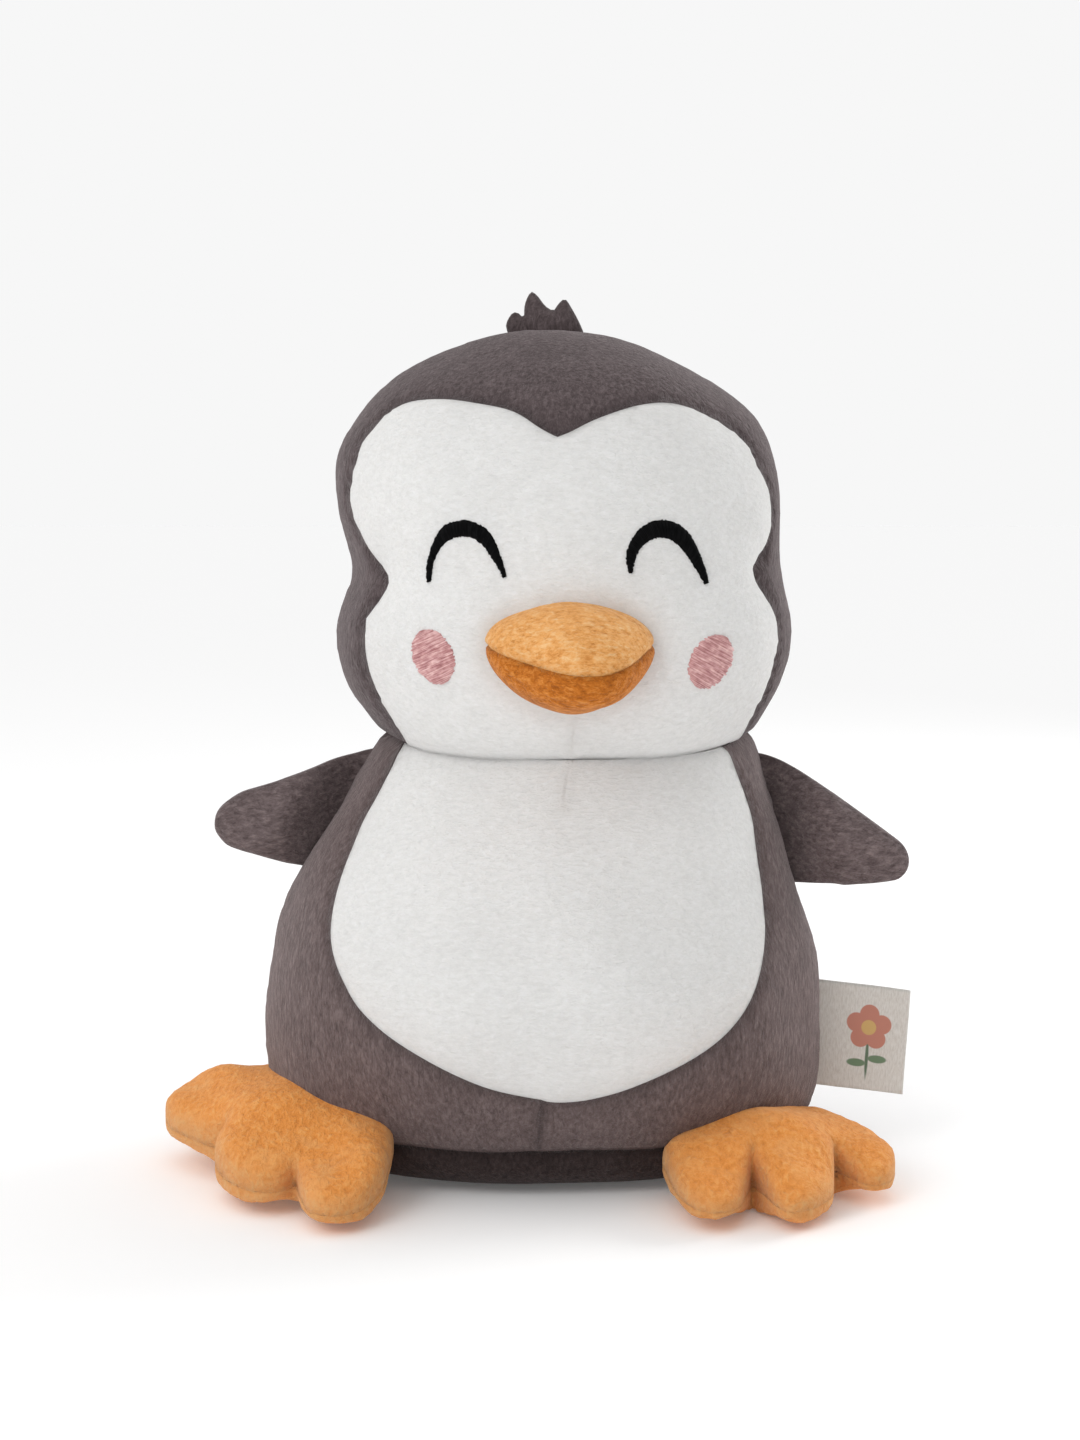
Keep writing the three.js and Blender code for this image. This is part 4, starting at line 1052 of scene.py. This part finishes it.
def wing_height(a, b):
    """Thin at the root, where the wing is gathered into the side seam along a line from a to b."""
    a, b = np.array(a, float), np.array(b, float)
    n = np.array([-(b - a)[1], (b - a)[0]])
    n /= np.linalg.norm(n)
    if n[0] * a[0] < 0:
        n = -n

    def f(xy, h):
        u = np.clip(((xy - a) @ n + 2.0) / 18.0, 0, 1)
        return h * (0.34 + 0.66 * u * u * (3 - 2 * u))

    return f


wing_rf, wing_rb = pad(("wing_right_front_plush", "wing_right_back_plush"), WING_R, wing_place(-1, 54, 97, 2.0, -9.5), 0.56,
                       0.50, TAUPE_WING, seed=70, lump=0.5, pinch=0.45, height=wing_height((-50, 124), (-68, 91)))
wing_lf, wing_lb = pad(("wing_left_front_plush", "wing_left_back_plush"), WING_L, wing_place(1, 64, 110, 2.0, -9.5), 0.56,
                       0.50, TAUPE_WING, seed=80, lump=0.5, pinch=0.45, height=wing_height((64, 124), (77, 87)))

FOOT_R = [(-42.5, -40), (-41.5, -51), (-42, -57), (-42.3, -62), (-43.2, -67), (-45.5, -72.5), (-49, -78), (-55, -81), (-61.8, -79),
          (-65.3, -72.2), (-68.2, -61), (-72.5, -65), (-79, -64.8), (-85.2, -60.5), (-89.8, -54), (-92.8, -46.8), (-93.5, -40.5),
          (-91, -35.5), (-97.5, -31.5), (-103.5, -26), (-109.8, -19), (-113, -11.5), (-113.6, -4), (-110, 3), (-102, 7),
          (-93, 8), (-85, 7), (-77, 3), (-66, -12), (-52, -27)]
FOOT_L = [(35.6, -44), (35.5, -54), (36.6, -63), (38.3, -69.5), (41, -75), (45, -79), (50, -79.3), (54.6, -75), (57.2, -67),
          (59.4, -58.6), (62, -67), (64, -74), (67.5, -79), (72.8, -77.3), (77.2, -73), (80.8, -67), (82.6, -58.5), (84, -47),
          (87.3, -51.5), (90, -56), (94, -58), (98.6, -55), (101.6, -46.5), (102, -38), (98.5, -29), (90, -20), (80, -12),
          (72, -8), (62, -18), (50, -31)]


def foot_place(hinge, out, seam_z, slope, rise):
    out = np.array(out) / np.linalg.norm(out)

    def f(xy, w):
        s = (xy - np.array(hinge)) @ out  # how far towards the toes
        u = np.clip(1 - (s + 6.0) / 27.0, 0, 1)
        z = seam_z + slope * (xy[:, 1] + 78.0) + rise * u * u * (3 - 2 * u) + w
        return np.stack([xy[:, 0], xy[:, 1], z], -1)

    return f


def foot_height(hinge, out, full, swell):
    """Fuller towards the root, most of all round the point full, where the foot bears on the body."""
    out = np.array(out) / np.linalg.norm(out)

    def f(xy, h):
        s = (xy - np.array(hinge)) @ out
        g = np.exp(-((xy - np.array(full)) ** 2).sum(1) / (2 * 13.0 ** 2))
        flat = 17.0 * np.tanh(h / 12.0) / np.tanh(17.0 / 12.0)
        near = np.exp(-((xy[:, None] - xy[None]) ** 2).sum(-1) / (2 * 5.0 ** 2))
        even = near @ flat / near.sum(1)  # the filling bridges the valleys that run up between the toes
        flat = flat + (np.maximum(even, flat) - flat) * np.clip((h - 3.5) / 4.0, 0, 1)
        return flat * (0.94 + 0.06 * np.clip(1 - s / 34.0, 0, 1)) + swell * g * np.clip(h / 7.0, 0, 1)

    return f


foot_rt, foot_rs = pad(("foot_right_top_plush", "foot_right_sole_plush"), FOOT_R, foot_place((-66, -27), (-0.75, -0.66), 6.0, 0.10, 4.5),
                       0.64, 0.34, ORANGE_FOOT, cell=2.0, corners=(10, 17), seed=90, lump=0.6, floor=0.25, puck=0.35, pinch=0.5,
                       height=foot_height((-66, -27), (-0.75, -0.66), (-75, -34), 9.0))
foot_lt, foot_ls = pad(("foot_left_top_plush", "foot_left_sole_plush"), FOOT_L, foot_place((60, -31), (0.69, -0.72), 6.2, 0.04, 2.2),
                       0.60, 0.34, ORANGE_FOOT, cell=2.0, corners=(9, 17), seed=95, lump=0.6, floor=0.25, puck=0.35, pinch=0.5,
                       height=foot_height((60, -31), (0.69, -0.72), (63, -45), 12.0))

CREST = [(-9.6, 247.5), (-10.2, 250.5), (-8.3, 253.8), (-6.3, 253.8), (-4.9, 252.4), (-4.6, 256.5), (-2.7, 260.0), (-0.6, 258.8),
         (1.6, 256), (3.9, 254.4), (5.6, 256.8), (7.5, 257.9), (9.4, 255.4), (12, 250.6), (13.4, 246.6), (12.6, 243.6),
         (2, 242.6), (-8.4, 243.6)]
crest_f, crest_b = pad(("crest_front_plush", "crest_back_plush"), CREST, lambda xy, w: np.stack([xy[:, 0], -w, xy[:, 1]], -1),
                       0.62, 0.62, TAUPE_HEAD_SHADE, cell=1.3, corners=(4, 9), seed=99, lump=0.25, skin=0.7, pinch=0.22, puck=0.1)


# ---------------------------------------------------------------- threads
def satin(name, a, b, pitch, height, material, seed, ragged=0.16):
    """Satin stitch between two lines of [x, z] on the face: one thread after another, each laid from a to b."""
    a, b = smooth_line(a, per=10), smooth_line(b, per=10)
    length = 0.5 * (np.linalg.norm(np.diff(a, axis=0), axis=1).sum() + np.linalg.norm(np.diff(b, axis=0), axis=1).sum())
    threads = int(length / pitch)
    fine = threads * 4 + 1
    u = np.linspace(0, 1, fine)

    def at(line):
        d = np.concatenate([[0], np.cumsum(np.linalg.norm(np.diff(line, axis=0), axis=1))])
        q = u * d[-1]
        return np.stack([np.interp(q, d, line[:, k]) for k in range(2)], -1)

    pa, pb = at(a), at(b)
    r = np.random.RandomState(seed)
    ja = np.repeat(r.uniform(-1, 1, threads + 1), 4)[:fine] * ragged
    jb = np.repeat(r.uniform(-1, 1, threads + 1), 4)[:fine] * ragged
    span = np.maximum(np.linalg.norm(pb - pa, axis=1, keepdims=True), 1e-6)
    dirn = (pb - pa) / span
    fade = np.clip(span / 1.2, 0, 1)
    pa, pb = pa - dirn * ja[:, None] * fade, pb + dirn * jb[:, None] * fade
    ridge = 0.5 - 0.5 * np.cos(2 * np.pi * u * threads)
    rows = 9
    v = 0.5 - 0.5 * np.cos(np.linspace(0, np.pi, rows))
    xz = pa[:, None] * (1 - v)[None, :, None] + pb[:, None] * v[None, :, None]
    dome = (1 - np.abs(2 * v - 1) ** 3.0)
    lift = height * dome[None] * np.clip(span / 1.6, 0.25, 1) + 0.16 * ridge[:, None] * (0.35 + 0.65 * dome)[None] + 0.05
    q = head.front(xz.reshape(-1, 2))
    p, out, _ = shaped(head, q, hs, (), 0, 0.55, NECK)
    top = p + out * lift.reshape(-1)[:, None]
    low = p - out * 0.8
    idx = np.arange(fine * rows).reshape(fine, rows)
    tri = np.vstack([np.stack([idx[:-1, :-1], idx[1:, :-1], idx[1:, 1:]], -1).reshape(-1, 3),
                     np.stack([idx[:-1, :-1], idx[1:, 1:], idx[:-1, 1:]], -1).reshape(-1, 3)])
    tri = facing(top, tri, out)
    n = len(top)
    edge = rims_of(tri)
    faces = [list(map(int, f)) for f in tri] + [[int(n + f[2]), int(n + f[1]), int(n + f[0])] for f in tri]
    faces += [[int(e[1]), int(e[0]), int(n + e[0]), int(n + e[1])] for e in edge]
    o = make(name, np.vstack([top, low]), faces, material)
    give(o, "rest", np.vstack([p, p]))
    st = np.stack([np.repeat(u * length, rows), np.tile(v, fine) * np.repeat(span[:, 0], rows), np.zeros(fine * rows)], -1)
    give(o, "stitch", np.vstack([st, st]))
    return o


EYE_R = [(-31.2, 175.4), (-31.0, 179.6), (-29.9, 184.4), (-28.0, 188.7), (-25.4, 191.5), (-21.7, 192.6), (-18.1, 192.2),
         (-14.4, 190.0), (-12.0, 186.2), (-10.2, 181.4), (-9.2, 177.3)], [
             (-29.9, 175.7), (-28.9, 181.0), (-27.2, 184.7), (-24.8, 187.1), (-21.8, 188.1), (-18.8, 187.9), (-15.8, 185.9),
             (-13.5, 182.7), (-11.4, 179.4), (-10.2, 176.9)]
EYE_L = [(24.2, 178.2), (23.5, 182.6), (24.3, 186.0), (26.3, 189.4), (29.4, 191.7), (33.0, 192.7), (37.4, 192.0),
         (41.2, 189.2), (44.0, 184.3), (45.9, 179.4), (46.9, 175.5)], [
             (25.3, 178.2), (25.9, 181.2), (27.0, 184.1), (28.9, 186.3), (31.8, 187.7), (34.2, 187.7), (37.2, 186.5),
             (40.2, 183.5), (42.7, 179.9), (44.6, 177.0), (45.8, 175.0)]
eye_r = satin("eye_right_thread", *EYE_R, 0.42, 0.85, BLACK, 11)
eye_l = satin("eye_left_thread", *EYE_L, 0.42, 0.85, BLACK, 12)


def cheek(name, cx, cz, a, b, lean, seed):
    u = np.linspace(-0.985, 0.985, 15)
    c, s = math.cos(math.radians(lean)), math.sin(math.radians(lean))

    def turned(sign):
        x, z = sign * a * np.sqrt(1 - u ** 2), -b * u
        return np.stack([cx + c * x - s * z, cz + s * x + c * z], -1)

    return satin(name, turned(-1), turned(1), 0.50, 0.6, PINK, seed, 0.35)


cheek_r = cheek("cheek_right_thread", -29.9, 155.0, 5.8, 7.9, 25, 21)
cheek_l = cheek("cheek_left_thread", 47.6, 153.6, 5.7, 7.9, -29, 22)


# ------------------------------------------------------------------ label
def ribbon():
    """A woven ribbon folded in half, its raw ends sewn into the side seam."""
    e1 = np.array([math.cos(math.radians(-7.4)), math.sin(math.radians(-7.4))])
    e2 = np.array([0.058, 1.0])
    origin = np.array([85.6, 21.0])
    reach, gap, inside = 25.6, 0.55, 5.0
    a = np.concatenate([np.linspace(-inside, reach - gap, 36), reach - gap + gap * np.sin(np.linspace(0, np.pi, 9)[1:-1]),
                        np.linspace(reach - gap, -inside, 36)])
    off = np.concatenate([np.full(36, -gap), -gap * np.cos(np.linspace(0, np.pi, 9)[1:-1]), np.full(36, gap)])
    front = off < 0
    open_up = np.clip(a / reach, 0, 1) * (1 - np.clip(a / reach, 0, 1)) * 1.4
    y = -1.0 + off * (0.7 + open_up * 1.2) + 0.9 * np.sin(np.clip(a / reach, 0, 1) * 2.2) ** 2
    w = np.linspace(0, 32.3, 30)
    aa, ww = np.meshgrid(a, w, indexing="ij")
    yy = np.repeat(y[:, None], len(w), 1) + 0.35 * np.sin(ww / 32.3 * 5.0 + 0.6) * np.clip(aa / reach, 0, 1)
    x = origin[0] + aa * e1[0] + ww * e2[0]
    z = origin[1] + aa * e1[1] + ww * e2[1]
    p = np.stack([x, yy, z], -1)
    rows, cols = aa.shape
    flat = p.reshape(-1, 3)
    du, dv = np.gradient(p, axis=0), np.gradient(p, axis=1)
    nrm = np.cross(du.reshape(-1, 3), dv.reshape(-1, 3))
    nrm /= np.linalg.norm(nrm, axis=1, keepdims=True)
    idx = np.arange(rows * cols).reshape(rows, cols)
    tri = np.vstack([np.stack([idx[:-1, :-1], idx[1:, :-1], idx[1:, 1:]], -1).reshape(-1, 3),
                     np.stack([idx[:-1, :-1], idx[1:, 1:], idx[:-1, 1:]], -1).reshape(-1, 3)])
    if nrm[: cols * 10, 1].mean() > 0:  # out is -Y on the front layer
        nrm = -nrm
    tri = facing(flat, tri, nrm)
    n = len(flat)
    thick = 0.34
    edge = rims_of(tri)
    faces = [list(map(int, f)) for f in tri] + [[int(n + f[2]), int(n + f[1]), int(n + f[0])] for f in tri]
    faces += [[int(e[1]), int(e[0]), int(n + e[0]), int(n + e[1])] for e in edge]
    o = make("side_label_ribbon", np.vstack([flat, flat - nrm * thick]), faces, RIBBON)
    st = np.stack([aa.reshape(-1), ww.reshape(-1), np.zeros(n)], -1)
    give(o, "stitch", np.vstack([st, st]))
    give(o, "rest", np.vstack([flat, flat]))
    length = np.hypot(np.diff(a), np.diff(y)).sum()
    return o, 32.3 * math.hypot(*e2) * abs(e1[0] * 1.0 - e1[1] * e2[0] / 1.0) / math.hypot(*e2) * 1.0, length


label, label_w, label_l = ribbon()

# ------------------------------------------------------------ the skeleton
for o in (face, hood, crown_l, crown_r, belly, front_r, front_l, back_l, back_r):
    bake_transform(o)
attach(base, "torso")
for o in (beak_up, beak_low, eye_r, eye_l, cheek_r, cheek_l):
    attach(o, "head")
for o in (crest_f, crest_b):
    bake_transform(o)
for o in (wing_rf, wing_rb):
    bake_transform(o)
for o in (wing_lf, wing_lb):
    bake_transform(o)
for o in (foot_rt, foot_rs):
    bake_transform(o)
for o in (foot_lt, foot_ls):
    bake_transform(o)
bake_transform(label)

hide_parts("face_panel", "head_stuffing")
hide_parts("head_front")
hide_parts("head_back_left")
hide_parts("head_back_right")
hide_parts("belly_panel", "body_stuffing")
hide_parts("body_front_right")
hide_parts("body_front_left")
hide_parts("body_back_left")
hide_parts("body_back_right")
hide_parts("base_panel")
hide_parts("beak_upper", "beak_stuffing")
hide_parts("beak_lower")
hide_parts("eye_right")
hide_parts("eye_left")
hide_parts("cheek_right")
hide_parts("cheek_left")
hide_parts("crest_front")
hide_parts("crest_back")
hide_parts("wing_right_front", "wing_right_stuffing")
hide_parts("wing_right_back")
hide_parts("wing_left_front", "wing_left_stuffing")
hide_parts("wing_left_back")
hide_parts("foot_right_top", "foot_right_stuffing")
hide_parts("foot_right_sole")
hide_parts("foot_left_top", "foot_left_stuffing")
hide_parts("foot_left_sole")
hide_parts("label")

# --------------------------------------------------------- room and camera
floor_mesh = bpy.data.meshes.new("floor")
R = 60.0
floor_mesh.from_pydata([(-R, -R, 0), (R, -R, 0), (R, R, 0), (-R, R, 0)], [], [(0, 1, 2, 3)])
floor = bpy.data.objects.new("floor", floor_mesh)
bpy.context.scene.collection.objects.link(floor)
floor.location = (0, 0, -0.0002)
fg = Graph("pale_floor")
fg.bsdf.inputs["Base Color"].default_value = (0.975, 0.975, 0.975, 1)
fg.bsdf.inputs["Roughness"].default_value = 0.9
fg.bsdf.inputs["Specular IOR Level"].default_value = 0.0
fg.bsdf.inputs["Emission Color"].default_value = (1, 1, 1, 1)
fg.bsdf.inputs["Emission Strength"].default_value = 0.075
floor_mesh.materials.append(fg.mat)

w = bpy.data.worlds.new("studio")
bpy.context.scene.world = w
w.use_nodes = True
t = w.node_tree
t.nodes.clear()
wo = t.nodes.new("ShaderNodeOutputWorld")
bg = t.nodes.new("ShaderNodeBackground")
co = t.nodes.new("ShaderNodeTexCoord")
sp = t.nodes.new("ShaderNodeSeparateXYZ")
t.links.new(co.outputs["Generated"], sp.inputs[0])
t.links.new(bg.outputs[0], wo.inputs[0])


def wmath(op, a, b):
    n = t.nodes.new("ShaderNodeMath")
    n.operation = op
    for i, v in enumerate((a, b)):
        if hasattr(v, "is_linked"):
            t.links.new(v, n.inputs[i])
        else:
            n.inputs[i].default_value = v
    return n.outputs[0]


def wrange(v, a, b, c, d):
    n = t.nodes.new("ShaderNodeMapRange")
    n.interpolation_type = "SMOOTHSTEP"
    for k, x in zip(("From Min", "From Max", "To Min", "To Max"), (a, b, c, d)):
        n.inputs[k].default_value = x
    t.links.new(v, n.inputs["Value"])
    return n.outputs[0]


across_x = wrange(sp.outputs[0], -1.0, 1.0, 0.84, 0.06)
above = wrange(sp.outputs[2], 0.1, 0.95, 0.0, 0.55)
front_light = wmath("ADD", across_x, above)
low = wrange(sp.outputs[2], 0.04, 0.13, 1.0, 0.0)  # a pale band along the horizon all the way round
bandmix = t.nodes.new("ShaderNodeMix")
bandmix.data_type = "FLOAT"
t.links.new(low, bandmix.inputs[0])
t.links.new(front_light, bandmix.inputs[2])
bandmix.inputs[3].default_value = 0.93
front_light = bandmix.outputs[0]
behind = wrange(sp.outputs[1], -0.15, 0.35, 0.0, 1.0)
mixn = t.nodes.new("ShaderNodeMix")
mixn.data_type = "FLOAT"
t.links.new(behind, mixn.inputs[0])
t.links.new(front_light, mixn.inputs[2])
mixn.inputs[3].default_value = 0.93
t.links.new(mixn.outputs[0], bg.inputs["Strength"])
bg.inputs["Color"].default_value = (1, 1, 1, 1)


def area(name, place, aim, size, power):
    d = bpy.data.lights.new(name, "AREA")
    d.shape = "DISK"
    d.size = size
    d.energy = power
    o = bpy.data.objects.new(name, d)
    bpy.context.scene.collection.objects.link(o)
    o.location = place
    o.rotation_euler = (Vector(aim) - Vector(place)).to_track_quat("-Z", "Y").to_euler()
    return o


area("key", (-0.62, -0.85, 0.80), (0, 0, 0.13), 0.6, 2.5)
area("rim", (0.95, 0.55, 0.50), (0, 0, 0.14), 0.5, 4.8)

cam = bpy.data.cameras.new("camera")
cam_o = bpy.data.objects.new("camera", cam)
bpy.context.scene.collection.objects.link(cam_o)
cam_o.location = (-0.00037, -0.64138, 0.193)
cam_o.rotation_euler = (math.radians(84.7), 0, 0)
cam.sensor_width = 36
cam.lens = 54.175
cam.clip_start = 0.01
bpy.context.scene.camera = cam_o
bpy.context.scene.view_settings.view_transform = "Standard"

bpy.context.view_layer.update()
